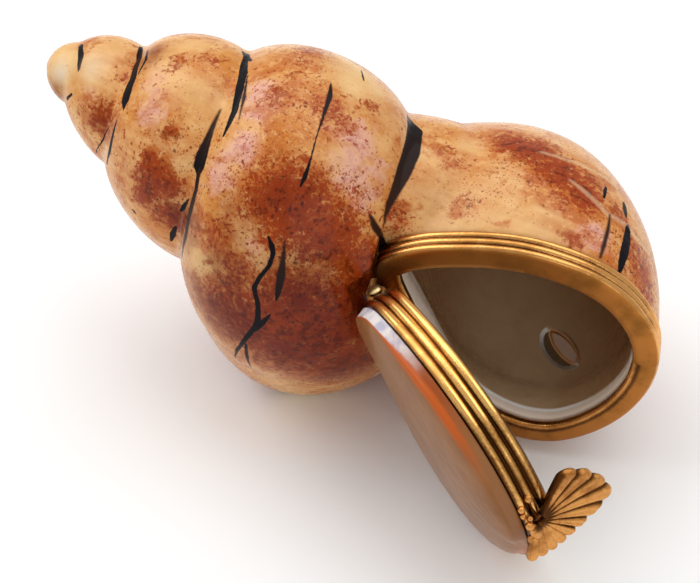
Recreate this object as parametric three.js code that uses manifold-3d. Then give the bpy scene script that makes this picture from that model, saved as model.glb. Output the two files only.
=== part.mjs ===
// A whelk-shell trinket box: a hollow porcelain shell whose mouth is closed by a hinged, domed lid.
// Millimetres, +Z up. The origin is the middle of the small flat foot that the shell stands on.
// The mouth's rim is an upright plane that faces -Y. The lid stands open.
import * as THREE from "three";
import { mergeVertices } from "three/addons/utils/BufferGeometryUtils.js";
import Module from "manifold-3d";

// Shell axis: where the apex end starts, measured from the rim's corner, and which way the axis points
const APEX = [-48.1, 19.6, 14.3];
const AXIS_YAW = 6.6;
const AXIS_PITCH = 19.0;
const AXIS_ROLL = 47.6;

// Spiral seam between whorls: turn, place along the axis, radius, then how far the shell swells past the
// straight line to the next seam, near this seam and near the next one, as shares of that line's length
const SEAM = [
  [1.0, -4.0, 0.0, 0.2, 0.22],
  [1.5, -3.5, 2.1, 0.2, 0.2],
  [2.0, -1.2, 3.7, 0.2, 0.22],
  [2.5, 1.1, 4.8, 0.13, 0.13],
  [3.0, 7.4, 7.0, 0.24, 0.2],
  [3.5, 10.0, 9.9, 0.17, 0.19],
  [4.0, 20.4, 13.0, 0.24, 0.23],
  [4.5, 25.5, 16.7, 0.4, 0.42],
  [4.58, 28.0, 18.0, 0.58, 0.58],
  [4.75, 34.0, 16.8, 0.3, 0.36],
  [5.0, 44.0, 15.7, 0.22, 0.36],
  [5.25, 49.0, 14.5, 0.1, 0.26],
  [5.5, 57.0, 16.6, 0.1, 0.2],
  [6.0, 87.0, 0.0, 0.1, 0.1],
];
const FIRST_TURN = 1;
const LAST_TURN = 6;
const NEAR_SHARE = 0.22;
const FAR_SHARE = 0.24;
const SPIRAL_COLUMNS = 38;
const SPIRAL_ROWS = 5;

// Mouth: its outline in the rim plane, [towards the clasp, up along the hinge], from the rim's corner
const RIM_TILT = 20.7;
const SEAM_SLANT = 0.56;
const OUTLINE = [
  [0.6, 1.8], [1.5, 4.1], [4.1, 5.2], [7.9, 5.5], [11.8, 5.1], [16.1, 4.3], [20.5, 2.9], [24.5, 0.8],
  [28.9, -2.7], [31.9, -7.0], [33.5, -12.5], [33.3, -17.0], [31.1, -22.2], [27.6, -26.4], [23.8, -29.2],
  [19.4, -31.1], [15.3, -31.7], [11.1, -30.6], [7.0, -27.6], [3.7, -23.1], [1.7, -17.6], [0.9, -11.1],
  [0.6, -4.6],
];
const OUTLINE_CENTRE = [17.0, -13.1];

// The lid's outline is the mouth's with the corner above the hinge cut off, down to the mouth's flange
const LID_CORNER = [[0.7, -0.3], [2.0, 1.2], [4.6, 3.2], [8.2, 4.9], [11.8, 5.0]];
const OUTLINE_STEPS = 44;

// Body whorl behind the mouth: how deep it reaches, how it swells, and how it leans as it goes back
const WHORL_DEPTH = 33;
const WHORL_SWELL = 0.42;
const WHORL_POWER = 2.4;
const WHORL_LEAN = [-0.16, 0.2];
const LEAN_FADE = 0.3;
const WHORL_RINGS = 9;
const WALL = 2.6;
const LIP_WALL = 3.2;
const LIP_DEPTH = 4.5;
const UNDERCUT = 1;
const CAVITY_POWER = 6;

// Gilt bezels: the height of each half, the gap between the halves when shut, ribs, wall and flange
const BEZEL_HEIGHT = 3.75;
const LID_BEZEL_HEIGHT = 4.2;
const HALF_GAP = 0.15;
const RIBS = 3;
const RIB_RISE = 0.55;
const RIB_EDGE = 0.3;
const BEZEL_WALL = 0.9;
const FLANGE_WIDTH = 3.0;
const FLANGE_THICKNESS = 1.2;
const FIT_GAP = 0.3;

// Hinge: its axis in the rim frame, the tubes on it and the wire through them
const HINGE_F = 0.3;
const HINGE_N = 1.5;
const HINGE_TOP = 1.3;
const LID_OPEN = 49;
const KNUCKLE_COUNT = 5;
const KNUCKLE_LENGTH = 2.7;
const KNUCKLE_RADIUS = 1.4;
const BORE_RADIUS = 0.75;
const PIN_RADIUS = 0.5;
const PIN_HEAD_RADIUS = 0.85;
const PIN_HEAD_HEIGHT = 0.5;
const LEAF_THICKNESS = 0.9;
const LEAF_HEIGHT = 2.9;
const SWING_RADIUS = 3.3;
const SWING_TOP = 4.2;
const SWING_LENGTH = 40;

// Lid: a short wall that is higher along the upper edge, then a low dome whose top lies off centre
const LID_WALL_TOP = 5.8;
const LID_WALL_LOW = 4.9;
const WALL_SLANT = 0.62;
const WALL_START = -1;
const WALL_RISE_LENGTH = 4;
const LID_DOME_TOP = 7.8;
const LID_CROWN = [24, -13];
const LID_WALL_INSET = 0.5;
const LID_THICKNESS = 2.4;
const LID_ROUNDING = 1.0;
const HOLLOW_WALL = 4.0;
const LID_RINGS = 5;

// Clasp: a cast scallop. Where its root lies in the rim frame, and how far its fan reaches: degrees from
// straight across the seam, towards the hinge's top, and the reach there
const CLASP_F = 34.5;
const CLASP_H = -14.3;
const CLASP_N = 2.7;
const CLASP_EDGE = [
  [-128, 5.9], [-93, 5.4], [-60, 5.6], [-40, 6.3], [-25, 7.6], [-5, 9.6], [15, 8.9], [50, 7.4],
];
const CLASP_ROOT = 0.6;
const CLASP_LOBE = 0.5;
const CLASP_LOBES = 11;
const CLASP_FLARE = 0.014;
const CLASP_THICKNESS = 0.9;
const CLASP_RIB = 0.35;
const CLASP_STEPS_PER_LOBE = 4;
const CLASP_RINGS = 3;
const UMBO_RADIUS = 1.5;
const UMBO_SCALE = [0.8, 1.1, 1];
const UMBO_RISE = 1.2;

// Foot: how far below the rim's corner the shell is ground flat, and where the middle of that spot lies
const FOOT_DROP = 27.7;
const FOOT_X = -10.5;
const FOOT_Y = 12.0;

// Facets on round pieces, how small a dome's last ring gets, and how far a cutting solid runs on
const ROUND_STEPS = 12;
const POLE_SIZE = 0.02;
const CUT_MARGIN = 1;
const CUT_SIZE = 200;

const PORCELAIN = { color: 0xd9a873, roughness: 0.12, metalness: 0 };
const GILT_BRASS = { color: 0xb8853a, roughness: 0.34, metalness: 1 };

const wasm = await Module();
wasm.setup();

// Small helpers

function radians(degrees) {
  return THREE.MathUtils.degToRad(degrees);
}

function weldedSolid(geometry) {
  const bare = geometry.clone();
  bare.deleteAttribute("normal");
  bare.deleteAttribute("uv");
  const welded = mergeVertices(bare, 1e-4);
  const index = welded.index.array;
  const kept = [];
  for (let i = 0; i < index.length; i += 3) {
    const [a, b, c] = [index[i], index[i + 1], index[i + 2]];
    if (a !== b && b !== c && c !== a) {
      kept.push(a, b, c);
    }
  }
  return new wasm.Manifold(new wasm.Mesh({
    numProp: 3,
    vertProperties: new Float32Array(welded.attributes.position.array),
    triVerts: new Uint32Array(kept),
  }));
}

function geometryOf(solid) {
  const mesh = solid.getMesh();
  const geometry = new THREE.BufferGeometry();
  geometry.setAttribute("position", new THREE.BufferAttribute(new Float32Array(mesh.vertProperties), 3));
  geometry.setIndex(Array.from(mesh.triVerts));
  geometry.computeVertexNormals();
  return geometry;
}

// A closed skin over rings of points. Rings may join end to end, as a torus does, or be capped.
function loft(rings, joinEnds = false) {
  const count = rings[0].length;
  const points = rings.flat();
  const index = [];
  const bands = joinEnds ? rings.length : rings.length - 1;
  for (let i = 0; i < bands; i += 1) {
    const next = (i + 1) % rings.length;
    for (let j = 0; j < count; j += 1) {
      const k = (j + 1) % count;
      const [a, b, c, d] = [i * count + j, next * count + j, next * count + k, i * count + k];
      index.push(a, c, b, a, d, c);
    }
  }
  if (!joinEnds) {
    for (const [ring, flip] of [[0, false], [rings.length - 1, true]]) {
      const middle = new THREE.Vector3();
      rings[ring].forEach((p) => middle.addScaledVector(p, 1 / count));
      const m = points.push(middle) - 1;
      for (let j = 0; j < count; j += 1) {
        const a = ring * count + j;
        const b = ring * count + (j + 1) % count;
        index.push(...(flip ? [m, a, b] : [m, b, a]));
      }
    }
  }
  const geometry = new THREE.BufferGeometry().setFromPoints(points);
  geometry.setIndex(index);
  return geometry;
}

// A smooth curve through a table of [place, value], with no overshoot between its rows
function smoothTable(places, values) {
  const steps = values.slice(1).map((v, i) => (v - values[i]) / (places[i + 1] - places[i]));
  const slopes = values.map((_, i) => {
    const before = steps[i - 1] ?? steps[i];
    const after = steps[i] ?? before;
    return before * after <= 0 ? 0 : (2 * before * after) / (before + after);
  });
  return (x) => {
    const at = THREE.MathUtils.clamp(x, places[0], places[places.length - 1]);
    let i = 0;
    while (i < places.length - 2 && at > places[i + 1]) {
      i += 1;
    }
    const width = places[i + 1] - places[i];
    const t = (at - places[i]) / width;
    const rise = (1 + 2 * t) * (1 - t) ** 2 * values[i] + t * t * (3 - 2 * t) * values[i + 1];
    return rise + width * (t * (1 - t) ** 2 * slopes[i] - t * t * (1 - t) * slopes[i + 1]);
  };
}

// Spiral shell

const seamTurns = SEAM.map((row) => row[0]);
const seamColumns = [1, 2, 3, 4].map((k) => smoothTable(seamTurns, SEAM.map((row) => row[k])));

function seamAt(turn) {
  return seamColumns.map((column) => column(turn));
}

function swellProfile(turn, share) {
  const [a0, r0, near, far] = seamAt(turn);
  const [a3, r3] = seamAt(turn + 1);
  const [da, dr] = [a3 - a0, r3 - r0];
  const along = new THREE.CubicBezierCurve(
    new THREE.Vector2(a0, r0),
    new THREE.Vector2(a0 + NEAR_SHARE * da - near * dr, r0 + NEAR_SHARE * dr + near * da),
    new THREE.Vector2(a3 - FAR_SHARE * da - far * dr, r3 - FAR_SHARE * dr + far * da),
    new THREE.Vector2(a3, r3),
  );
  return along.getPoint(share);
}

function axisFrame() {
  const [yaw, pitch, roll] = [radians(AXIS_YAW), radians(AXIS_PITCH), radians(AXIS_ROLL)];
  const along = new THREE.Vector3(
    Math.cos(pitch) * Math.cos(yaw), -Math.cos(pitch) * Math.sin(yaw), -Math.sin(pitch));
  const level = new THREE.Vector3(Math.sin(yaw), Math.cos(yaw), 0);
  const lift = along.clone().cross(level);
  const crown = lift.multiplyScalar(Math.cos(roll)).addScaledVector(level, Math.sin(roll));
  const front = along.clone().cross(crown);
  return new THREE.Matrix4().makeBasis(along, crown, front).setPosition(...APEX);
}

function spiralSolid() {
  const frame = axisFrame();
  const rows = SPIRAL_ROWS * LAST_TURN;
  const points = [];
  for (let i = 0; i <= SPIRAL_COLUMNS; i += 1) {
    const turn = i / SPIRAL_COLUMNS;
    const angle = 2 * Math.PI * turn;
    for (let k = 0; k <= rows; k += 1) {
      const whorl = Math.min(Math.floor(k / SPIRAL_ROWS), LAST_TURN - 1);
      const at = Math.max(whorl + turn, FIRST_TURN - 1);
      const profile = swellProfile(at, k / SPIRAL_ROWS - whorl);
      const radius = Math.max(profile.y, 0);
      const local = new THREE.Vector3(profile.x, radius * Math.cos(angle), radius * Math.sin(angle));
      points.push(local.applyMatrix4(frame));
    }
  }
  const index = [];
  for (let i = 0; i < SPIRAL_COLUMNS; i += 1) {
    for (let k = 0; k < rows; k += 1) {
      const a = i * (rows + 1) + k;
      const b = a + rows + 1;
      index.push(a, b, b + 1, a, b + 1, a + 1);
    }
  }
  const geometry = new THREE.BufferGeometry().setFromPoints(points);
  geometry.setIndex(index);
  return weldedSolid(geometry);
}

// Mouth and body whorl. In the rim frame X runs to the clasp, Y up the hinge and Z out of the mouth.

function rimFrame() {
  const tilt = radians(RIM_TILT);
  return new THREE.Matrix4().makeBasis(
    new THREE.Vector3(Math.cos(tilt), 0, Math.sin(tilt)),
    new THREE.Vector3(-Math.sin(tilt), 0, Math.cos(tilt)),
    new THREE.Vector3(0, -1, 0),
  );
}

function spacedOutline(table) {
  const corners = table.map(([f, h]) => new THREE.Vector3(f, h, 0));
  const curve = new THREE.CatmullRomCurve3(corners, true, "centripetal");
  return curve.getSpacedPoints(OUTLINE_STEPS).slice(0, OUTLINE_STEPS);
}

const outlinePoints = spacedOutline(OUTLINE);
const lidOutlinePoints = spacedOutline([...LID_CORNER, ...OUTLINE.slice(LID_CORNER.length)]);
const centre = new THREE.Vector3(...OUTLINE_CENTRE, 0);

// An outline moved outwards by a distance, at a height out of the mouth
function outlineRing(outwards, out, points = outlinePoints) {
  return points.map((p) => {
    const ray = p.clone().sub(centre);
    return p.clone().add(ray.setLength(1).multiplyScalar(outwards)).setZ(out);
  });
}

// A slice of the body whorl, so far behind the bezel, with a wall taken off it
function whorlRing(depth, wall) {
  const share = Math.min(depth / WHORL_DEPTH, 1);
  const narrowing = Math.sqrt(Math.max(1 - share ** WHORL_POWER, 0));
  const size = narrowing * (1 + WHORL_SWELL * share * (1 - share));
  const lean = depth * (1 - LEAN_FADE * share);
  return outlinePoints.map((p) => {
    const ray = p.clone().sub(centre).multiplyScalar(size);
    const length = Math.max(ray.length() - wall, 0.01);
    ray.setLength(length);
    return new THREE.Vector3(
      centre.x + ray.x + WHORL_LEAN[0] * lean,
      centre.y + ray.y + WHORL_LEAN[1] * lean,
      -BEZEL_HEIGHT - HALF_GAP - depth,
    );
  });
}

function whorlSolid() {
  const rings = [];
  for (let i = 0; i <= WHORL_RINGS; i += 1) {
    rings.push(whorlRing(WHORL_DEPTH * Math.sin((Math.PI / 2) * (i / WHORL_RINGS)), 0));
  }
  const spigot = outlineRing(-BEZEL_WALL - FIT_GAP, -FLANGE_THICKNESS - HALF_GAP - FIT_GAP);
  const step = outlineRing(-BEZEL_WALL - FIT_GAP, -BEZEL_HEIGHT - HALF_GAP);
  return weldedSolid(loft([spigot, step, ...rings]).applyMatrix4(rimFrame()));
}

function cavitySolid() {
  const mouth = outlineRing(-LIP_WALL, CUT_MARGIN);
  const lip = whorlRing(0, LIP_WALL);
  const lipBack = whorlRing(LIP_DEPTH - UNDERCUT, LIP_WALL);
  const rings = [mouth, lip, lipBack];
  const deepest = WHORL_DEPTH - WALL - CUT_MARGIN;
  for (let i = 0; i <= WHORL_RINGS; i += 1) {
    const swing = Math.sin((Math.PI / 2) * (i / WHORL_RINGS));
    const depth = LIP_DEPTH + (deepest - LIP_DEPTH) * swing;
    const closing = Math.max(Math.sqrt(1 - swing ** CAVITY_POWER), POLE_SIZE);
    const ring = whorlRing(depth, WALL);
    const middle = ring.reduce((sum, p) => sum.addScaledVector(p, 1 / ring.length), new THREE.Vector3());
    rings.push(ring.map((p) => p.clone().sub(middle).multiplyScalar(closing).add(middle)));
  }
  return weldedSolid(loft(rings).applyMatrix4(rimFrame()));
}

// The space in front of the bezel's back face, right of the hinge side and of the seam above the corner
function mouthBlock() {
  const left = -RIB_RISE - FIT_GAP;
  const corner = OUTLINE[0][1];
  const rise = CUT_SIZE - corner;
  const edge = new THREE.Shape([
    new THREE.Vector2(left, -CUT_SIZE), new THREE.Vector2(CUT_SIZE, -CUT_SIZE),
    new THREE.Vector2(CUT_SIZE, CUT_SIZE), new THREE.Vector2(left + rise * SEAM_SLANT, CUT_SIZE),
    new THREE.Vector2(left, corner),
  ]);
  const block = new THREE.ExtrudeGeometry(edge, { depth: CUT_SIZE, bevelEnabled: false });
  block.translate(0, 0, -BEZEL_HEIGHT - HALF_GAP);
  return weldedSolid(block.applyMatrix4(rimFrame()));
}

// The room that the barrel and the back edge of the lid need when they swing
function hingeRoom() {
  const room = new THREE.CylinderGeometry(SWING_RADIUS, SWING_RADIUS, SWING_LENGTH, 2 * ROUND_STEPS);
  room.translate(HINGE_F, SWING_TOP - SWING_LENGTH / 2, HINGE_N);
  return weldedSolid(room.applyMatrix4(rimFrame()));
}

function footBlock() {
  const block = new THREE.BoxGeometry(CUT_SIZE, CUT_SIZE, CUT_SIZE);
  block.translate(0, 0, -CUT_SIZE / 2 - FOOT_DROP);
  return weldedSolid(block);
}

function shellBody() {
  const spire = spiralSolid().subtract(mouthBlock());
  const joined = spire.add(whorlSolid());
  return geometryOf(joined.subtract(cavitySolid()).subtract(hingeRoom()).subtract(footBlock()));
}

// Bezels

function bezelProfile(height) {
  const band = height / RIBS;
  const outside = [];
  for (let i = 0; i < RIBS; i += 1) {
    outside.push([0, i * band], [RIB_RISE, (i + RIB_EDGE) * band], [RIB_RISE, (i + 1 - RIB_EDGE) * band]);
  }
  return [
    ...outside,
    [0, height],
    [-BEZEL_WALL, height],
    [-BEZEL_WALL, FLANGE_THICKNESS],
    [-FLANGE_WIDTH, FLANGE_THICKNESS],
    [-FLANGE_WIDTH, 0],
  ];
}

// A ring with three ribs outside and a flat flange on the side where the two halves meet
function bodyBezel() {
  const section = bezelProfile(BEZEL_HEIGHT);
  return loft(section.map(([outwards, back]) => outlineRing(outwards, -HALF_GAP - back)), true);
}

// Hinge

// A tube with a thin leaf that lies on the outside of its own bezel
function knuckle(leafSide) {
  const length = KNUCKLE_LENGTH - FIT_GAP;
  const leaf = new THREE.BoxGeometry(LEAF_THICKNESS, length, LEAF_HEIGHT);
  leaf.translate(LEAF_THICKNESS / 2 - KNUCKLE_RADIUS, 0, leafSide * LEAF_HEIGHT / 2);
  const bore = new THREE.CylinderGeometry(BORE_RADIUS, BORE_RADIUS, 2 * length, ROUND_STEPS);
  const round = new THREE.CylinderGeometry(KNUCKLE_RADIUS, KNUCKLE_RADIUS, length, ROUND_STEPS);
  return geometryOf(weldedSolid(round).add(weldedSolid(leaf)).subtract(weldedSolid(bore)));
}

function hingePin() {
  const half = KNUCKLE_COUNT * KNUCKLE_LENGTH / 2 + FIT_GAP;
  const [crownRadius, crownHeight] = [0.7 * PIN_HEAD_RADIUS, 0.8 * PIN_HEAD_HEIGHT];
  const profile = [
    [0, -half - PIN_HEAD_HEIGHT], [crownRadius, -half - crownHeight],
    [PIN_HEAD_RADIUS, -half], [PIN_RADIUS, -half], [PIN_RADIUS, half], [PIN_HEAD_RADIUS, half],
    [crownRadius, half + crownHeight], [0, half + PIN_HEAD_HEIGHT],
  ];
  return new THREE.LatheGeometry(profile.map(([r, y]) => new THREE.Vector2(r, y)), ROUND_STEPS);
}

// Lid

// The height of the lid's wall where it passes a point of the outline
function lidWallTop(p) {
  const along = p.y + WALL_SLANT * p.x - WALL_START;
  const share = THREE.MathUtils.smoothstep(along, 0, WALL_RISE_LENGTH);
  return THREE.MathUtils.lerp(LID_WALL_LOW, LID_WALL_TOP, share);
}

// Rings from the foot of a dome to its crown. Its inside keeps a wall's thickness and a level foot.
function lidDomeRings(shrink, foot) {
  const rings = [];
  for (let i = 0; i <= LID_RINGS; i += 1) {
    const angle = (Math.PI / 2) * (i / LID_RINGS);
    const size = Math.max(Math.cos(angle) ** LID_ROUNDING, POLE_SIZE);
    const middle = centre.clone().lerp(new THREE.Vector3(...LID_CROWN, 0), 1 - size);
    rings.push(outlineRing(-LID_WALL_INSET - shrink, 0, lidOutlinePoints).map((p) => {
      const base = foot(p);
      const out = base + (LID_DOME_TOP - shrink - base) * Math.sin(angle);
      return p.clone().sub(centre).multiplyScalar(size).add(middle).setZ(out);
    }));
  }
  return rings;
}

// The room round the hinge's barrel that is cut from the lid
function barrelRoom() {
  const radius = KNUCKLE_RADIUS + FIT_GAP;
  const length = KNUCKLE_COUNT * KNUCKLE_LENGTH + 6 * FIT_GAP;
  const room = new THREE.CylinderGeometry(radius, radius, length, ROUND_STEPS);
  room.translate(HINGE_F, HINGE_TOP - KNUCKLE_COUNT * KNUCKLE_LENGTH / 2, HINGE_N);
  return weldedSolid(room);
}

function lidShell() {
  const seat = LID_BEZEL_HEIGHT + HALF_GAP + FIT_GAP;
  const spigotInset = -BEZEL_WALL - FIT_GAP;
  const spigotEnd = FLANGE_THICKNESS + HALF_GAP + FIT_GAP;
  const outside = loft([
    outlineRing(spigotInset, spigotEnd, lidOutlinePoints), outlineRing(spigotInset, seat, lidOutlinePoints),
    outlineRing(0, seat, lidOutlinePoints), ...lidDomeRings(0, lidWallTop),
  ].reverse());
  const inside = loft([
    outlineRing(-LIP_WALL, -CUT_MARGIN, lidOutlinePoints), ...lidDomeRings(LID_THICKNESS, () => HOLLOW_WALL),
  ].reverse());
  return geometryOf(weldedSolid(outside).subtract(weldedSolid(inside)).subtract(barrelRoom()));
}

function lidBezel() {
  const section = bezelProfile(LID_BEZEL_HEIGHT);
  const rings = section.map(([outwards, back]) => outlineRing(outwards, HALF_GAP + back, lidOutlinePoints));
  return geometryOf(weldedSolid(loft(rings.reverse(), true)).subtract(barrelRoom()));
}

// Clasp

// A fan of ribs with a scalloped edge, flared away from the box, on a rounded boss
function clasp() {
  const directions = CLASP_EDGE.map((row) => row[0]);
  const edge = smoothTable(directions, CLASP_EDGE.map((row) => row[1]));
  const steps = CLASP_LOBES * CLASP_STEPS_PER_LOBE;
  const rings = [];
  for (let i = 0; i <= steps; i += 1) {
    const degrees = THREE.MathUtils.lerp(directions[0], directions[directions.length - 1], i / steps);
    const angle = radians(degrees);
    const wave = Math.abs(Math.sin(Math.PI * i / CLASP_STEPS_PER_LOBE));
    const outer = [];
    const inner = [];
    for (let j = 0; j <= CLASP_RINGS; j += 1) {
      const share = j / CLASP_RINGS;
      const reach = edge(degrees) - CLASP_LOBE * (1 - wave);
      const radius = CLASP_ROOT + (reach - CLASP_ROOT) * share;
      const away = CLASP_FLARE * radius * radius;
      const [h, n] = [radius * Math.sin(angle), -radius * Math.cos(angle)];
      outer.push(new THREE.Vector3(away + CLASP_THICKNESS + CLASP_RIB * wave * share, h, n));
      inner.push(new THREE.Vector3(away, h, n));
    }
    rings.push([...outer, ...inner.reverse()]);
  }
  const boss = new THREE.SphereGeometry(UMBO_RADIUS, ROUND_STEPS, ROUND_STEPS / 2);
  boss.scale(...UMBO_SCALE);
  boss.translate(UMBO_RADIUS * UMBO_SCALE[0], 0, UMBO_RISE);
  return geometryOf(weldedSolid(loft(rings)).add(weldedSolid(boss)));
}

// The whole box

function mesh(name, geometry, finish) {
  const result = new THREE.Mesh(geometry, new THREE.MeshStandardMaterial(finish));
  result.name = name;
  return result;
}

function knuckleY(i) {
  return HINGE_TOP - (i + 0.5) * KNUCKLE_LENGTH;
}

const box = new THREE.Group();
box.position.set(-FOOT_X, -FOOT_Y, FOOT_DROP);
box.add(mesh("shell_body", shellBody(), PORCELAIN));

const rim = new THREE.Group();
rim.quaternion.setFromRotationMatrix(rimFrame());
box.add(rim);
rim.add(mesh("body_bezel", bodyBezel(), GILT_BRASS));
for (let i = 0; i < KNUCKLE_COUNT; i += 2) {
  const piece = mesh(`body_knuckle_${i / 2 + 1}`, knuckle(-1), GILT_BRASS);
  piece.position.set(HINGE_F, knuckleY(i), HINGE_N);
  rim.add(piece);
}
const pin = mesh("hinge_pin", hingePin(), GILT_BRASS);
pin.position.set(HINGE_F, HINGE_TOP - KNUCKLE_COUNT * KNUCKLE_LENGTH / 2, HINGE_N);
rim.add(pin);

const lid = new THREE.Group();
lid.position.set(HINGE_F, 0, HINGE_N);
lid.rotation.y = -radians(LID_OPEN);
rim.add(lid);
const onLid = new THREE.Group();
onLid.position.set(-HINGE_F, 0, -HINGE_N);
lid.add(onLid);
onLid.add(mesh("lid_shell", lidShell(), PORCELAIN));
onLid.add(mesh("lid_bezel", lidBezel(), GILT_BRASS));
for (let i = 1; i < KNUCKLE_COUNT; i += 2) {
  const piece = mesh(`lid_knuckle_${(i + 1) / 2}`, knuckle(1), GILT_BRASS);
  piece.position.set(HINGE_F, knuckleY(i), HINGE_N);
  onLid.add(piece);
}
const scallop = mesh("clasp", clasp(), GILT_BRASS);
scallop.position.set(CLASP_F, CLASP_H, CLASP_N);
onLid.add(scallop);

box.updateMatrixWorld(true);
const group = new THREE.Group();
group.add(box);

export default group;
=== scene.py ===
"""A porcelain whelk-shell trinket box with gilt mounts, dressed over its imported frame.

Shapes are worked out in millimetres and become metres when a mesh is made.
"""

from __future__ import annotations

import logging
import math
from collections.abc import Callable, Iterator, Sequence
from contextlib import contextmanager
from dataclasses import dataclass, field
from enum import Enum

import bmesh
import bpy
import numpy as np
from mathutils import Matrix, Vector
from mathutils.bvhtree import BVHTree

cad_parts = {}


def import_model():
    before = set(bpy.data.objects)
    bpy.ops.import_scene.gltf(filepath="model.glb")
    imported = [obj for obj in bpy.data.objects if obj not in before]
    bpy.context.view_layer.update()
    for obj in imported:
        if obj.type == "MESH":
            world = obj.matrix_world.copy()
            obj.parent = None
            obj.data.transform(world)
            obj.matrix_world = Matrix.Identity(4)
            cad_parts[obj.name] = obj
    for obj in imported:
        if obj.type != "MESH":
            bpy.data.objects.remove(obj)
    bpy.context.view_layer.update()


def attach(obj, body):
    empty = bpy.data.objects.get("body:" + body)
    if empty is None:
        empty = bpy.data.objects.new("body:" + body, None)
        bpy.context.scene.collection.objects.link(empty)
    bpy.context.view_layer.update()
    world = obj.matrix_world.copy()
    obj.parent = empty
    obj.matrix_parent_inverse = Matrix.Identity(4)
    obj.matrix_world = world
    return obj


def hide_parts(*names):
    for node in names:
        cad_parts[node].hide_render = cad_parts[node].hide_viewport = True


LOG = logging.getLogger("whelk_box")
Array = np.ndarray
Colour = tuple[float, float, float]
Pair = tuple[float, float]
Place = tuple[float, float, float]
Quad = tuple[float, float, float, float]
Object = bpy.types.Object
Tree = bpy.types.NodeTree
Node = bpy.types.Node
Socket = bpy.types.NodeSocket
MM = 0.001


class Slot(Enum):
    """The record's material slots."""

    PAINTED = "painted_porcelain"
    LID = "lid_porcelain"
    GILT = "gilt_brass"


class Half(Enum):
    """The two halves of the box, and which way each lies from the mating plane."""

    SHELL = -1
    LID = 1

    @property
    def body(self) -> str:
        """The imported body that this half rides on."""
        return self.name.lower()


# Curves, frames and meshes


def smooth_table(places: Array, values: Array) -> Callable[[Array], Array]:
    """A smooth curve through a table, with no overshoot between its rows.

    Args:
        places: Where the rows stand, rising.
        values: What each row holds.

    Returns:
        A function from places to values.
    """
    steps = np.diff(values) / np.diff(places)
    before = np.concatenate([steps[:1], steps])
    after = np.concatenate([steps, steps[-1:]])
    total = np.where(before * after > 0, before + after, 1.0)
    slopes = np.where(before * after > 0, 2 * before * after / total, 0.0)

    def at(x: Array) -> Array:
        """The table's values.

        Args:
            x: The places.

        Returns:
            One value for each.
        """
        x = np.clip(x, places[0], places[-1])
        i = np.clip(np.searchsorted(places, x, side="left") - 1, 0, len(places) - 2)
        width = places[i + 1] - places[i]
        t = (x - places[i]) / width
        rise = (1 + 2 * t) * (1 - t) ** 2 * values[i] + t * t * (3 - 2 * t) * values[i + 1]
        return rise + width * (t * (1 - t) ** 2 * slopes[i] - t * t * (1 - t) * slopes[i + 1])

    return at


@dataclass(frozen=True)
class Placement:
    """A frame in the part: its origin in mm and its three axes as rows."""

    origin: Array
    axes: Array

    def to_part(self, local: Array) -> Array:
        """Points of this frame, in the part's frame."""
        return local @ self.axes + self.origin

    def from_part(self, points: Array) -> Array:
        """Points of the part's frame, in this one."""
        return (points - self.origin) @ self.axes.T


@dataclass
class Skin:
    """Points in mm and the faces over them."""

    points: Array
    faces: list[tuple[int, ...]]

    def placed(self, placement: Placement) -> Skin:
        """The same skin, carried from a frame into the part's frame."""
        return Skin(placement.to_part(self.points), self.faces)

    def to_object(self, name: str) -> Object:
        """Makes the skin an object, with its doubles merged and its faces pointing outwards.

        Args:
            name: The object's name.

        Returns:
            The new object, linked to the scene.
        """
        mesh = bpy.data.meshes.new(name)
        mesh.from_pydata((self.points * MM).tolist(), [], self.faces)
        with editing(mesh) as work:
            bmesh.ops.remove_doubles(work, verts=work.verts, dist=1e-4 * MM)
            bmesh.ops.dissolve_degenerate(work, dist=1e-5 * MM, edges=work.edges)
            bmesh.ops.recalc_face_normals(work, faces=work.faces)
        return linked(name, mesh)


@contextmanager
def editing(mesh: bpy.types.Mesh) -> Iterator[bmesh.types.BMesh]:
    """Opens a mesh for editing, and writes it back afterwards.

    Args:
        mesh: The mesh.

    Yields:
        The mesh as it is worked on.
    """
    work = bmesh.new()
    work.from_mesh(mesh)
    yield work
    work.to_mesh(mesh)
    work.free()


def linked(name: str, data: bpy.types.ID | None) -> Object:
    """Makes an object of a mesh, a lamp or a camera, and links it to the scene.

    Args:
        name: The object's name.
        data: What it holds.

    Returns:
        The new object.
    """
    result = bpy.data.objects.new(name, data)
    bpy.context.scene.collection.objects.link(result)
    return result


def raised(flat: Array, height: float) -> Array:
    """Points of a plane, carried to a height over it."""
    return np.column_stack([flat, np.full(len(flat), height)])


def loft(rings: Sequence[Array], join_ends: bool = False) -> Skin:
    """A closed skin over rings of points.

    Args:
        rings: Rings with the same number of points each.
        join_ends: Whether the ends join, as a torus does, or are capped.

    Returns:
        The skin.
    """
    count = len(rings[0])
    points = np.concatenate(rings)
    faces = []
    for i in range(len(rings) if join_ends else len(rings) - 1):
        low, high = i * count, (i + 1) % len(rings) * count
        faces += [(low + j, low + (j + 1) % count, high + (j + 1) % count, high + j) for j in range(count)]
    if not join_ends:
        for ring in (0, len(rings) - 1):
            points = np.concatenate([points, rings[ring].mean(0)[None]])
            middle, start = len(points) - 1, ring * count
            faces += [(middle, start + (j + 1) % count, start + j) for j in range(count)]
    return Skin(points, faces)


def turned(section: Sequence[Sequence[float]], steps: int, centre: Place = (0.0, 0.0, 0.0),
           join_ends: bool = False) -> Skin:
    """A skin turned round an axis along y.

    Args:
        section: Rows of radius and place along the axis.
        steps: Points in a round.
        centre: Where the axis passes.
        join_ends: Whether the section is closed.

    Returns:
        The skin.
    """
    angle = np.linspace(0, 2 * math.pi, steps, endpoint=False)
    return loft([
        np.column_stack([r * np.cos(angle), np.full(steps, y), r * np.sin(angle)]) + centre
        for r, y in section], join_ends)


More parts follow.
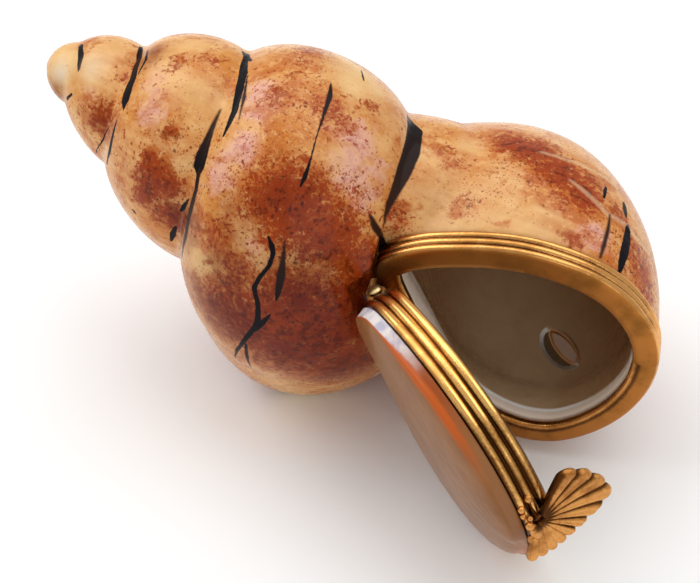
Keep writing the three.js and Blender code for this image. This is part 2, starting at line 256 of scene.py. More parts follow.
def settle(target: Object) -> None:
    """Makes an object's evaluated mesh its own, and takes its modifiers off.

    Args:
        target: The object with its modifiers.
    """
    bpy.context.view_layer.update()
    graph = bpy.context.evaluated_depsgraph_get()
    mesh = bpy.data.meshes.new_from_object(target.evaluated_get(graph))
    target.modifiers.clear()
    target.data = mesh


def carve(target: Object, tool: Object, operation: str = "DIFFERENCE") -> None:
    """Takes a solid off the target or joins it to it, and removes the solid.

    Args:
        target: The object to change.
        tool: The other solid.
        operation: DIFFERENCE or UNION.
    """
    change = target.modifiers.new(operation, "BOOLEAN")
    change.operation = operation
    change.solver = "MANIFOLD"
    change.object = tool
    settle(target)
    bpy.data.objects.remove(tool)


def join(target: Object, other: Object) -> None:
    """Adds another object's mesh after the target's own points, and removes the other object.

    Args:
        target: The object that keeps both.
        other: The object that is used up.
    """
    with editing(target.data) as work:
        work.from_mesh(other.data)
    bpy.data.objects.remove(other)


def points_of(target: Object) -> Array:
    """The object's points, in mm.

    Args:
        target: An object with a mesh.

    Returns:
        One row a point.
    """
    co = np.zeros(len(target.data.vertices) * 3, np.float32)
    target.data.vertices.foreach_get("co", co)
    return co.reshape(-1, 3).astype(float) / MM


def move_points(target: Object, points: Array) -> None:
    """Gives the object's points new places, in mm."""
    target.data.vertices.foreach_set("co", (points * MM).astype(np.float32).ravel())
    target.data.update()


def store(target: Object, name: str, values: Array) -> None:
    """Keeps one number or three for each point, for the material to read."""
    kind, key = ("FLOAT_VECTOR", "vector") if values.ndim > 1 else ("FLOAT", "value")
    target.data.attributes.new(name, kind, "POINT").data.foreach_set(key, values.astype(np.float32).ravel())


def shade_smooth(target: Object) -> None:
    """Shades every face of the object smoothly."""
    target.data.polygons.foreach_set("use_smooth", [True] * len(target.data.polygons))


# Where things are


CORNER = np.array([10.5, -12.0, 27.7])
RIM_TILT = math.radians(20.7)
RIM = Placement(
    CORNER,
    np.array([
        [math.cos(RIM_TILT), 0, math.sin(RIM_TILT)],
        [-math.sin(RIM_TILT), 0, math.cos(RIM_TILT)],
        [0, -1, 0],
    ]),
)
HINGE_F = 0.3
HINGE_N = 1.5
HINGE_TOP = 1.3
LID_OPEN = math.radians(49)
HALF_GAP = 0.15
FIT_GAP = 0.3


def lid_placement() -> Placement:
    """The shut lid's frame, swung open about the hinge.

    Returns:
        The frame.
    """
    f, h, n = RIM.axes
    c, s = math.cos(LID_OPEN), math.sin(LID_OPEN)
    axes = np.array([f * c + n * s, h, n * c - f * s])
    hinge = np.array([HINGE_F, 0, HINGE_N])
    return Placement(RIM.to_part(hinge) - hinge @ axes, axes)


LID = lid_placement()


def placement_of(half: Half) -> Placement:
    """The rim frame of one half, as it stands at rest."""
    return RIM if half is Half.SHELL else LID


@dataclass(frozen=True)
class Viewpoint:
    """Where the picture is taken from, and how a pixel of it becomes a line of sight."""

    location: Place = (38.84, -152.42, 167.32)
    look: Place = (-0.1605, 0.6975, -0.6984)
    right: Place = (0.97454, 0.2242, 0.0)
    up: Place = (-0.1566, 0.6806, 0.7157)
    focal: float = 1500.0
    width: int = 700
    height: int = 583
    sensor: float = 36.0

    def spot(self, surface: BVHTree, x: float, y: float) -> tuple[Array, float] | None:
        """What a pixel shows.

        Args:
            surface: The surface, in mm.
            x: The pixel's column.
            y: The pixel's row.

        Returns:
            The point and how many mm a pixel spans there, or None where the pixel misses.
        """
        across, down = x - self.width / 2, y - self.height / 2
        line = Vector(self.look) * self.focal + Vector(self.right) * across - Vector(self.up) * down
        point = surface.ray_cast(Vector(self.location), line.normalized())[0]
        return None if point is None else (np.array(point), math.dist(point, self.location) / self.focal)

    def project(self, points: Array) -> tuple[Array, Array]:
        """The column and the row at which the picture shows each point.

        Args:
            points: The points, in mm.

        Returns:
            The columns and the rows.
        """
        away = points - np.array(self.location)
        scale = self.focal / (away @ np.array(self.look))
        across, up = away @ np.array(self.right) * scale, away @ np.array(self.up) * scale
        return self.width / 2 + across, self.height / 2 - up

    def camera(self) -> None:
        """Makes the camera and sets it as the scene's."""
        data = bpy.data.cameras.new("camera")
        data.sensor_width = self.sensor
        data.lens = self.focal * self.sensor / self.width
        data.clip_start, data.clip_end = 0.01, 10.0
        camera = linked("camera", data)
        turn = Matrix((self.right, self.up, -Vector(self.look))).transposed()
        camera.matrix_world = Matrix.Translation(Vector(self.location) * MM) @ turn.to_4x4()
        bpy.context.scene.camera = camera


VIEW = Viewpoint()


# Shader building


class Graph:
    """A node tree that is being wired, with short calls for its usual nodes."""

    def __init__(self, tree: Tree) -> None:
        """Starts on an empty tree."""
        self.tree = tree

    def fill(self, node: Node, inputs: dict[str | int, object]) -> Node:
        """Links a node's inputs to sockets, or sets plain values on them.

        Args:
            node: The node.
            inputs: What each input is linked to or set to, by name or number.

        Returns:
            The same node.
        """
        for name, value in inputs.items():
            socket = node.inputs[name]
            if isinstance(value, Socket):
                self.tree.links.new(value, socket)
            elif isinstance(value, tuple) and socket.type == "RGBA":
                socket.default_value = (*value, 1.0)
            else:
                socket.default_value = value
        return node

    def add(self, kind: str, inputs: dict[str | int, object] | None = None, **settings: object) -> Node:
        """Adds a node.

        Args:
            kind: The node's type.
            inputs: What each input is linked to or set to, by name or number.
            **settings: The node's own options.

        Returns:
            The node.
        """
        node = self.tree.nodes.new(kind)
        for name, value in settings.items():
            setattr(node, name, value)
        return self.fill(node, inputs or {})

    def math(self, operation: str, *values: object) -> Socket:
        """The result of a Math node."""
        return self.add("ShaderNodeMath", dict(enumerate(values)), operation=operation).outputs[0]

    def times(self, one: object, other: object) -> Socket:
        """The product of two values."""
        return self.math("MULTIPLY", one, other)

    def line(self, value: object, slope: object, start: object) -> Socket:
        """A value times a slope, from a start."""
        return self.math("MULTIPLY_ADD", value, slope, start)

    def vector(self, operation: str, *values: object) -> Socket:
        """The vector result of a Vector Math node."""
        return self.add("ShaderNodeVectorMath", dict(enumerate(values)), operation=operation).outputs[0]

    def scaled(self, vector: object, scale: object) -> Socket:
        """A vector times a number."""
        return self.add("ShaderNodeVectorMath", {0: vector, "Scale": scale}, operation="SCALE").outputs[0]

    def ramp(self, value: object, low: object, high: object, start: float = 0.0, end: float = 1.0) -> Socket:
        """A smooth step of a value, which gives start at low and end at high."""
        inputs = {"Value": value, "From Min": low, "From Max": high, "To Min": start, "To Max": end}
        return self.add("ShaderNodeMapRange", inputs, interpolation_type="SMOOTHSTEP").outputs[0]

    def apart(self, value: object, other: object, far: float, near: float) -> Socket:
        """A mask that is 1 where two values are within a near distance, and 0 beyond a far one."""
        return self.ramp(self.math("ABSOLUTE", self.math("SUBTRACT", value, other)), far, near)

    def mix(self, share: object, under: object, over: object, blend: str = "MIX") -> Socket:
        """A colour laid over another by a share."""
        return self.add("ShaderNodeMix", {0: share, 6: under, 7: over}, data_type="RGBA", blend_type=blend,
                        clamp_factor=True).outputs[2]

    def noise(self, vector: object, scale: object, detail: float = 3.0, roughness: float = 0.5,
              distortion: float = 0.0) -> Socket:
        """The value of a noise texture."""
        return self.add("ShaderNodeTexNoise", {
            "Vector": vector, "Scale": scale, "Detail": detail, "Roughness": roughness, "Distortion": distortion,
        }).outputs["Fac"]

    def stored(self, name: str) -> Socket:
        """The value that the mesh keeps under a name."""
        return self.add("ShaderNodeAttribute", attribute_name=name).outputs["Fac"]

    def stored_vector(self, name: str) -> Socket:
        """The vector that the mesh keeps under a name."""
        return self.add("ShaderNodeAttribute", attribute_name=name).outputs["Vector"]

    def parts(self, vector: Socket) -> Sequence[Socket]:
        """A vector's three numbers."""
        return self.add("ShaderNodeSeparateXYZ", {0: vector}).outputs

    def group(self, tree: Tree, inputs: dict[str, object]) -> Sequence[Socket]:
        """What a shared group gives."""
        return self.fill(self.add("ShaderNodeGroup", node_tree=tree), inputs).outputs


@dataclass(frozen=True)
class SharedEffect:
    """A shader node group that more than one finish or layer of paint uses."""

    name: str
    vectors: tuple[str, ...]
    values: tuple[str, ...]
    outputs: tuple[str, ...]
    wire: Callable[[Graph, dict[str, Socket]], Sequence[Socket]]

    def tree(self) -> Tree:
        """Builds the group the first time, and gives the same one after that.

        Returns:
            The node group.
        """
        found = bpy.data.node_groups.get(self.name)
        if found:
            return found
        made = bpy.data.node_groups.new(self.name, "ShaderNodeTree")
        for name in self.vectors + self.values:
            kind = "NodeSocketVector" if name in self.vectors else "NodeSocketFloat"
            made.interface.new_socket(name, in_out="INPUT", socket_type=kind)
        for name in self.outputs:
            made.interface.new_socket(name, in_out="OUTPUT", socket_type="NodeSocketFloat")
        g = Graph(made)
        given = {socket.name: socket for socket in g.add("NodeGroupInput").outputs if socket.name}
        g.add("NodeGroupOutput", dict(zip(self.outputs, self.wire(g, given))))
        return made


def wire_sponge(g: Graph, given: dict[str, Socket]) -> Sequence[Socket]:
    """Pigment dabbed on with a sponge: soft clouds that break up into grains.

    Args:
        g: The group's graph.
        given: Vector in mm, Grain, Coverage and Softness.

    Returns:
        The mask.
    """
    cloud = g.noise(given["Vector"], given["Grain"], 7.0, 0.68, 0.4)
    edge = g.line(given["Coverage"], -0.46, 0.73)
    low = g.math("SUBTRACT", edge, given["Softness"])
    high = g.math("ADD", edge, given["Softness"])
    return [g.ramp(cloud, low, high)]


def wire_spatter(g: Graph, given: dict[str, Socket]) -> Sequence[Socket]:
    """Fine dots of pigment flicked from a brush, of uneven size.

    Args:
        g: The group's graph.
        given: Vector in mm, Pitch and Density.

    Returns:
        The mask.
    """
    wobble = g.add("ShaderNodeTexNoise", {"Vector": given["Vector"], "Scale": 2.6, "Detail": 2.0})
    pushed = g.vector("MULTIPLY_ADD", wobble.outputs["Color"], (0.5, 0.5, 0.5), given["Vector"])
    cell = g.add("ShaderNodeTexVoronoi", {"Vector": pushed, "Scale": given["Pitch"]})
    chance = g.add("ShaderNodeSeparateColor", {0: cell.outputs["Color"]}).outputs[0]
    size = g.times(g.times(chance, given["Density"]), 0.62)
    dots = g.ramp(cell.outputs["Distance"], g.math("ADD", size, 0.05), g.math("SUBTRACT", size, 0.09))
    return [g.times(dots, g.ramp(size, 0.05, 0.12))]


def wire_brush(g: Graph, given: dict[str, Socket]) -> Sequence[Socket]:
    """A brush stroke from its stored offset, half width and fade, with a slightly bristly edge.

    Args:
        g: The group's graph.
        given: Stroke and Vector, in mm.

    Returns:
        The mask and the fade.
    """
    offset, half_width, fade = g.parts(given["Stroke"])
    bristle = g.line(g.noise(given["Vector"], 1.7, 4.0, 0.6), 0.22, -0.11)
    depth = g.math("ADD", g.math("SUBTRACT", half_width, g.math("ABSOLUTE", offset)), bristle)
    soft = g.line(fade, 0.5, 0.07)
    return [g.ramp(depth, g.times(soft, -1.0), soft), fade]


def wire_glaze(g: Graph, given: dict[str, Socket]) -> Sequence[Socket]:
    """The height of a fired glaze's slow waves and fine peel, by its Vector in mm."""
    return [g.line(g.noise(given["Vector"], 1.3, 2.0), 0.08, g.noise(given["Vector"], 0.22, 2.0))]


def wire_wear(g: Graph, given: dict[str, Socket]) -> Sequence[Socket]:
    """Tarnish that gathers in grooves and where shade is painted, rubbed brightness on crests, and fine pitting.

    Args:
        g: The group's graph.
        given: Vector in mm and Groove, 0 on a crest and 1 at the bottom of a groove, and higher where shade is
            painted.

    Returns:
        The masks Tarnish and Patch, and the pits' height.
    """
    cloud = g.noise(given["Vector"], 0.22, 4.0, 0.55)
    grain = g.noise(given["Vector"], 3.2, 4.0, 0.65)
    gathered = g.line(g.math("ADD", grain, cloud), 0.4, given["Groove"])
    patch = g.ramp(g.line(grain, 0.2, cloud), 0.5, 0.8)
    return [g.ramp(gathered, 0.62, 1.12), patch, g.line(cloud, 0.5, grain)]


SPONGE = SharedEffect("sponged_pigment", ("Vector",), ("Grain", "Coverage", "Softness"), ("Mask",), wire_sponge)
SPATTER = SharedEffect("spattered_dots", ("Vector",), ("Pitch", "Density"), ("Mask",), wire_spatter)
BRUSH = SharedEffect("brush_stroke", ("Vector", "Stroke"), (), ("Mask", "Fade"), wire_brush)
GLAZE = SharedEffect("fired_glaze", ("Vector",), (), ("Height",), wire_glaze)
WEAR = SharedEffect("gilt_wear", ("Vector",), ("Groove",), ("Tarnish", "Patch", "Height"), wire_wear)


@dataclass(frozen=True)
class Finish:
    """What every finish of the box shares."""

    name: str

    def material(self) -> bpy.types.Material:
        """Builds the material the first time, and gives the same one after that.

        Returns:
            The material.
        """
        found = bpy.data.materials.get(self.name)
        if found:
            return found
        made = bpy.data.materials.new(self.name)
        made.use_nodes = True
        made.node_tree.nodes.clear()
        g = Graph(made.node_tree)
        in_mm = g.scaled(g.add("ShaderNodeTexCoord").outputs["Object"], 1 / MM)
        shader = g.add("ShaderNodeBsdfPrincipled", self.wire(g, in_mm))
        g.add("ShaderNodeOutputMaterial", {"Surface": shader.outputs[0]})
        return made

    def wire(self, g: Graph, in_mm: Socket) -> dict[str, object]:
        """Wires the finish's own nodes, and gives what the shader's inputs take."""
        raise NotImplementedError

    def bump(self, g: Graph, height: Socket, depth: float) -> Socket:
        """A normal from a height, where a height of 1 stands for a depth in mm."""
        return g.add("ShaderNodeBump", {"Height": height, "Strength": 1.0, "Distance": depth * MM}).outputs[0]


@dataclass(frozen=True)
class PaintedGlaze(Finish):
    """Hand-painted porcelain under a clear glaze: ivory, sponged and spattered, with black strokes."""

    name: str = "painted_glaze"
    ivory: Colour = (0.76, 0.43, 0.17)
    cream: Colour = (0.80, 0.57, 0.27)
    honey: Colour = (0.62, 0.25, 0.055)
    orange: Colour = (0.46, 0.11, 0.015)
    brown: Colour = (0.35, 0.078, 0.012)
    rust: Colour = (0.31, 0.036, 0.003)
    dark_rust: Colour = (0.10, 0.010, 0.002)
    mauve: Colour = (0.72, 0.39, 0.30)
    plum: Colour = (0.40, 0.10, 0.09)
    ink: Colour = (0.006, 0.005, 0.007)
    ink_thin: Colour = (0.13, 0.05, 0.02)
    fold_light: Colour = (0.86, 0.60, 0.34)
    bare: Colour = (0.74, 0.62, 0.50)
    lip: Colour = (0.86, 0.74, 0.62)
    lip_edge: Colour = (1.0, 0.98, 0.94)
    deep: Colour = (0.33, 0.175, 0.075)
    sheen: Colour = (0.52, 0.36, 0.21)
    dusk: Colour = (0.37, 0.165, 0.05)
    # Painted reflection and shadow in the dimple: its orange ring is the reflected gilt, the leaf the mouth's
    # reflected image, the dark crescent a shadow.
    dimple_edge: Colour = (0.80, 0.42, 0.17)
    leaf: Colour = (0.62, 0.46, 0.36)
    dimple_dark: Colour = (0.07, 0.045, 0.025)
    coat: float = 0.2
    coat_on_ink: float = 0.1
    specular: float = 0.08
    specular_on_ink: float = 0.03
    lip_depth: float = 0.9
    spared: float = -0.3
    relief: float = 0.35
    bowl_depth: float = -2.4
    leaf_rise: float = 1.3

    def layer(self, g: Graph, in_mm: Socket, under: Socket, tone: Colour, share: object, effect: SharedEffect,
              shift: Place = (0.0, 0.0, 0.0), **inputs: object) -> Socket:
        """Sponges or spatters a tone over the colour under it, with the pattern shifted off the other layers'."""
        mask = g.group(effect.tree(), {"Vector": g.vector("ADD", in_mm, shift), **inputs})[0]
        return g.mix(g.times(mask, share), under, tone)

    def wire(self, g: Graph, in_mm: Socket) -> dict[str, object]:
        """Lays the washes, dabs, dots, painted fold highlights, painted shade and strokes over each other, then the
        glaze.

        Args:
            g: The material's graph.
            in_mm: The position, in mm.

        Returns:
            What the shader's inputs take.
        """
        warmth, rosy_paint_and_reflection, pale_paint_and_highlight = g.parts(g.stored_vector("washes"))
        rustiness, speckling, bare_and_highlight = g.parts(g.stored_vector("dabs"))
        streaks = g.noise(g.stored_vector("growth"), 1.0, 5.0, 0.65)
        colour = g.mix(g.ramp(g.noise(in_mm, 0.14, 4.0, 0.6), 0.38, 0.64), self.ivory, self.honey)
        colour = g.mix(g.times(g.ramp(streaks, 0.4, 0.75), 0.3), colour, self.orange)
        colour = g.mix(g.times(pale_paint_and_highlight, 0.85), colour, self.cream)
        colour = g.mix(g.times(warmth, g.ramp(streaks, 0.22, 0.62)), colour, self.orange)

        plum, spared = g.times(rosy_paint_and_reflection, 0.55), g.times(pale_paint_and_highlight, self.spared)
        veiled = g.math("ADD", g.line(rustiness, 0.85, 0.32), spared)
        tuned = g.line(streaks, 0.5, -0.25)
        broad = g.math("ADD", g.line(rustiness, 0.55, 0.14), tuned)
        grainy = g.math("ADD", g.line(rustiness, 0.45, 0.27), spared)
        for tone, share, grain, coverage, softness, shift in (
                (self.mauve, 0.85, 0.4, rosy_paint_and_reflection, 0.16, (0.0, 0.0, 0.0)),
                (self.plum, plum, 0.9, g.times(rosy_paint_and_reflection, 0.5), 0.1, (31.0, 7.0, 3.0)),
                (self.orange, 0.75, 0.2, veiled, 0.07, (0.0, 0.0, 0.0)),
                (self.brown, 0.9, 0.55, broad, 0.05, (3.0, 9.0, 21.0)),
                (self.ivory, 0.5, 0.9, 0.34, 0.05, (22.0, 13.0, 4.0)),
                (self.rust, 0.9, 1.5, grainy, 0.03, (5.0, 43.0, 11.0)),
                (self.dark_rust, 0.75, 0.8, g.times(rustiness, 0.42), 0.05, (15.0, 3.0, 31.0))):
            colour = self.layer(g, in_mm, colour, tone, share, SPONGE, shift, Grain=grain, Coverage=coverage,
                                Softness=softness)
        colour = self.layer(g, in_mm, colour, self.rust, 0.7, SPATTER, Pitch=2.6, Density=speckling)
        colour = self.layer(g, in_mm, colour, self.dark_rust, 0.75, SPATTER, (17.0, 3.0, 29.0), Pitch=1.4,
                            Density=g.times(speckling, 0.7))
        across, half_width, _ = g.parts(g.stored_vector("folds"))
        # Pale line on each fold's crest: partly unpainted porcelain, partly a painted highlight; the crest also
        # raises the bump.
        crest = g.ramp(g.math("SUBTRACT", g.math("ABSOLUTE", across), half_width), 0.6, -0.15)
        colour = g.mix(g.times(crest, 0.35), colour, self.fold_light)
        # Partly brown stain, partly painted shade: the lower whorls and some edges are multiplied darker and
        # browner.
        clouded = g.ramp(g.noise(in_mm, 0.5, 4.0, 0.65), 0.3, 0.6, 0.55, 1.0)
        colour = g.mix(g.times(g.stored("dusk"), clouded), colour, self.dusk, "MULTIPLY")

        inked = 0.0
        for layer in range(StrokeLayers.COUNT):
            mask, fade = g.group(BRUSH.tree(), {"Vector": in_mm, "Stroke": g.stored_vector(f"ink_{layer}")})
            colour = g.mix(mask, colour, g.mix(fade, self.ink, self.ink_thin))
            inked = g.math("MAXIMUM", mask, inked)

        hollow = g.parts(g.stored_vector("hollow"))
        inner = g.ramp(hollow[0], 0.2, 0.8)
        inside, dent = self.wire_inside(g, in_mm, hollow[1], hollow[2])
        peel = g.group(GLAZE.tree(), {"Vector": in_mm})[0]
        height = g.math("ADD", g.line(crest, 0.5, peel), g.times(dent, inner))
        return {
            "Base Color": g.mix(inner, g.mix(bare_and_highlight, colour, self.bare), inside),
            "Roughness": g.ramp(g.noise(in_mm, 0.8), 0.3, 0.7, 0.22, 0.34),
            "Specular IOR Level": g.ramp(inked, 0.0, 1.0, self.specular, self.specular_on_ink),
            "Coat Weight": g.ramp(inked, 0.0, 1.0, self.coat, self.coat_on_ink),
            "Coat Roughness": 0.05,
            "Normal": self.bump(g, height, self.relief),
        }

    def wire_inside(self, g: Graph, in_mm: Socket, depth: Socket, upward: Socket) -> tuple[Socket, Socket]:
        """The glazed cavity: a pale lip wall, a darker depth and the leaf-shaped dimple, with painted light, shadow
        and reflection.

        Args:
            g: The material's graph.
            in_mm: The position, in mm.
            depth: How deep behind the bezel, in mm.
            upward: How far the surface faces up.

        Returns:
            The colour, and the height of the dimple.
        """
        past = g.ramp(depth, self.lip_depth, self.lip_depth + 0.7)
        # Painted light: the cavity's floor is painted lighter where it faces up.
        painted_light_share = g.times(g.ramp(upward, 0.3, 0.95), g.ramp(g.noise(in_mm, 0.1, 2.0), 0.3, 0.6, 0.5, 1.0))
        colour = g.mix(past, self.lip, g.mix(painted_light_share, self.deep, self.sheen))
        # Painted highlight: a thin near-white line along the lip's back edge, where it faces up.
        edge = g.apart(depth, self.lip_depth + 0.1, 0.4, 0.15)
        colour = g.mix(g.times(edge, g.ramp(upward, 0.55, 0.85)), colour, self.lip_edge)
        # The dimple: a painted shadow as a dark crescent on its left, the leaf painted as the mouth's reflection
        # with the gilt ring's orange reflection round it, and a painted glint on its lower-left rim.
        bowl, leaf, left = g.parts(g.stored_vector("dimple"))
        within = g.ramp(bowl, 1.02, 0.94)
        painted_shadow_crescent = g.times(g.times(within, g.ramp(leaf, 1.0, 1.15)), left)
        colour = g.mix(g.times(painted_shadow_crescent, 0.8), colour, self.dimple_dark)
        colour = g.mix(g.times(within, g.ramp(leaf, 1.0, 0.9)), colour, self.leaf)
        colour = g.mix(g.times(within, g.apart(leaf, 1.0, 0.2, 0.08)), colour, self.dimple_edge)
        colour = g.mix(g.times(g.apart(bowl, 0.93, 0.13, 0.05), left), colour, self.lip_edge)
        sunk = g.times(g.ramp(bowl, 1.05, 0.8), self.bowl_depth)
        return colour, g.math("ADD", sunk, g.times(g.ramp(leaf, 1.05, 0.85), self.leaf_rise))


@dataclass(frozen=True)
class LidGlaze(Finish):
    """The lid's porcelain: pinkish beige with faint rings, a white band with a painted shadow past its middle, and
    an orange edge line.
    """

    name: str = "lid_glaze"
    beige: Colour = (0.24, 0.098, 0.03)
    rose: Colour = (0.285, 0.12, 0.043)
    ring: Colour = (0.19, 0.08, 0.034)
    white: Colour = (0.74, 0.68, 0.66)
    lilac: Colour = (0.46, 0.44, 0.55)
    orange: Colour = (0.48, 0.095, 0.015)
    burnt: Colour = (0.30, 0.068, 0.014)
    inside: Colour = (0.62, 0.56, 0.50)
    relief: float = 0.3

    def wire(self, g: Graph, in_mm: Socket) -> dict[str, object]:
        """Paints the dome's rings, the wall's band with its painted shadow, and the line between them.

        Args:
            g: The material's graph.
            in_mm: The position, in mm.

        Returns:
            What the shader's inputs take.
        """
        above, spread, along = g.parts(g.stored_vector("lid_place"))
        drift = g.noise(in_mm, 0.16)
        colour = g.mix(g.ramp(drift, 0.35, 0.65), self.beige, self.rose)
        wave = g.math("SINE", g.line(drift, 16.0, g.times(spread, 7.5)))
        rings = g.times(g.ramp(wave, 0.0, 1.0), g.ramp(g.noise(in_mm, 0.25, 2.0), 0.45, 0.7, 0.0, 0.45))
        colour = g.mix(rings, colour, self.ring)
        wall = g.mix(g.ramp(g.noise(in_mm, 0.5, 2.0), 0.4, 0.6), self.white, self.lilac)
        # Painted shadow: the wall darkens past mid-length, next to the gilt band.
        wall = g.mix(g.ramp(g.line(drift, 9.0, along), 17.0, 25.0), wall, self.burnt)
        wall = g.mix(g.ramp(along, 23.0, 31.0), wall, self.rose)
        colour = g.mix(g.ramp(above, -0.05, 0.1), wall, colour)
        wander = g.line(g.noise(in_mm, 0.4), 0.4, -0.35)
        width = g.ramp(along, 11.0, 20.0, 0.1, 0.62)
        line = g.math("SUBTRACT", width, g.math("ABSOLUTE", g.math("ADD", above, wander)))
        colour = g.mix(g.times(g.ramp(line, -0.2, 0.25), g.ramp(along, 33.0, 26.0)), colour, self.orange)
        return {
            "Base Color": g.mix(g.ramp(g.stored("hollow"), 0.2, 0.8), colour, self.inside),
            "Roughness": 0.3, "Specular IOR Level": 0.1, "Coat Weight": 0.16, "Coat Roughness": 0.12,
            "Normal": self.bump(g, g.group(GLAZE.tree(), {"Vector": in_mm})[0], self.relief),
        }


@dataclass(frozen=True)
class GiltBrass(Finish):
    """Antique gilt brass, dark where tarnish gathers and where shade is painted."""

    name: str = "gilt"
    bright: Colour = (0.79, 0.39, 0.118)
    dull: Colour = (0.52, 0.225, 0.054)
    flat_tone: Colour = (0.46, 0.175, 0.036)
    flat_dark: Colour = (0.30, 0.12, 0.022)
    tarnish: Colour = (0.10, 0.035, 0.008)
    polish: float = 0.2
    haze: float = 0.34
    relief: float = 0.02

    def wire(self, g: Graph, in_mm: Socket) -> dict[str, object]:
        """Wires the metal's wear.

        Args:
            g: The material's graph.
            in_mm: The position, in mm.

        Returns:
            What the shader's inputs take.
        """
        tarnish, patch, pits = g.group(WEAR.tree(), {"Vector": in_mm, "Groove": g.stored("groove")})
        matte = g.stored("matte")
        colour = g.mix(patch, self.bright, self.dull)
        colour = g.mix(matte, colour, g.mix(patch, self.flat_tone, self.flat_dark))
        rough = g.ramp(patch, 0.0, 1.0, self.polish, self.haze)
        return {
            "Base Color": g.mix(tarnish, colour, self.tarnish), "Metallic": 1.0,
            "Roughness": g.line(matte, 0.2, rough),
            "Normal": self.bump(g, pits, self.relief),
        }


@dataclass(frozen=True)
class FloorPaper(Finish):
    """The pale paper that the box stands on."""

    name: str = "floor_paper"
    tone: Colour = (0.95, 0.95, 0.95)
    tooth_tone: Colour = (0.90, 0.90, 0.90)

    def wire(self, g: Graph, in_mm: Socket) -> dict[str, object]:
        """Wires a matte paper with a faint tooth.

        Args:
            g: The material's graph.
            in_mm: The position, in mm.

        Returns:
            What the shader's inputs take.
        """
        tooth = g.ramp(g.noise(in_mm, 0.05, 2.0), 0.0, 1.0, 0.98, 1.0)
        colour = g.mix(tooth, self.tooth_tone, self.tone)
        return {"Base Color": colour, "Roughness": 0.9, "Specular IOR Level": 0.1}


PAINT = PaintedGlaze()
LID_PAINT = LidGlaze()
GILT = GiltBrass()
# Painted light: a brighter copy of the gilt for the lid's band, standing in for the stronger light on it.
BRIGHTENED_LID_GILT = GiltBrass("lid_gilt", bright=(0.98, 0.55, 0.17), dull=(0.70, 0.34, 0.09))
CAST_GILT = GiltBrass(
    "cast_gilt", bright=(0.68, 0.31, 0.085), dull=(0.36, 0.135, 0.03), polish=0.22, haze=0.4, relief=0.1)
HINGE_GILT = GiltBrass("hinge_gilt", bright=(0.98, 0.55, 0.20), dull=(0.8, 0.40, 0.12), polish=0.55, haze=0.65)
PALE_GILT = GiltBrass("pale_gilt", bright=(0.98, 0.82, 0.44), dull=(0.88, 0.66, 0.30), polish=0.3, haze=0.4)


def hand_over(target: Object, finish: Finish, half: Half, slot: Slot, *stands_for: str) -> None:
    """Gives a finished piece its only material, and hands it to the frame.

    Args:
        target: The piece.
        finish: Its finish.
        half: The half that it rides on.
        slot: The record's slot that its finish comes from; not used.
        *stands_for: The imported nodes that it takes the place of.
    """
    target.data.materials.clear()
    target.data.materials.append(finish.material())
    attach(target, half.body)
    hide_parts(*stands_for)
    LOG.info("%s: %d points, on %s", target.name, len(target.data.vertices), half.body)


# The mouth's outline and the shell


@dataclass
class MouthOutline:
    """The mouth's outline in the rim plane, in mm towards the clasp and up along the hinge."""

    knots: tuple[Pair, ...] = (
        (0.6, 1.8), (1.5, 4.1), (4.1, 5.2), (7.9, 5.5), (11.8, 5.1), (16.1, 4.3), (20.5, 2.9), (24.5, 0.8),
        (28.9, -2.7), (31.9, -7.0), (33.5, -12.5), (33.3, -17.0), (31.1, -22.2), (27.6, -26.4), (23.8, -29.2),
        (19.4, -31.1), (15.3, -31.7), (11.1, -30.6), (7.0, -27.6), (3.7, -23.1), (1.7, -17.6), (0.9, -11.1),
        (0.6, -4.6),
    )
    lid_corner: tuple[Pair, ...] = ((0.7, -0.3), (2.0, 1.2), (4.6, 3.2), (8.2, 4.9), (11.8, 5.0))
    centre: Pair = (17.0, -13.1)
    steps: int = 240
    steps_per_knot: int = 24

    def __post_init__(self) -> None:
        """Runs a smooth closed curve through the knots and spaces its points evenly."""
        knots = np.array(self.knots)
        dense = []
        for i in range(len(knots)):
            p0, p1, p2, p3 = (knots[(i + k - 1) % len(knots)] for k in range(4))
            d0, d1, d2 = (math.sqrt(math.dist(a, b)) for a, b in ((p0, p1), (p1, p2), (p2, p3)))
            leave = ((p1 - p0) / d0 - (p2 - p0) / (d0 + d1) + (p2 - p1) / d1) * d1
            arrive = ((p2 - p1) / d1 - (p3 - p1) / (d1 + d2) + (p3 - p2) / d2) * d1
            t = (np.arange(self.steps_per_knot) / self.steps_per_knot)[:, None]
            dense.append(p1 + leave * t + (3 * (p2 - p1) - 2 * leave - arrive) * t ** 2
                         + (2 * (p1 - p2) + leave + arrive) * t ** 3)
        line = np.concatenate([*dense, dense[0][:1]])
        run = np.concatenate([[0], np.cumsum(np.linalg.norm(np.diff(line, axis=0), axis=1))])
        at = np.linspace(0, run[-1], self.steps, endpoint=False)
        self.points = np.stack([np.interp(at, run, line[:, k]) for k in range(2)], 1)
        self.ray = self.points - self.centre
        self.length = np.linalg.norm(self.ray, axis=1)

    def for_lid(self) -> MouthOutline:
        """The same outline with the corner above the hinge cut off."""
        return MouthOutline(knots=self.lid_corner + self.knots[len(self.lid_corner):])

    def ring(self, outwards: float, out: float) -> Array:
        """The outline moved away from its centre, at a height out of the mouth, in the rim frame."""
        return raised(self.points + self.ray / self.length[:, None] * outwards, out)

    def reach(self, flat: Array) -> Array:
        """How far the outline is from its centre, in the direction of each point measured from there."""
        angle, around = (np.arctan2(line[:, 1], line[:, 0]) for line in (self.ray, flat))
        return np.interp(around, angle, self.length, period=2 * math.pi)


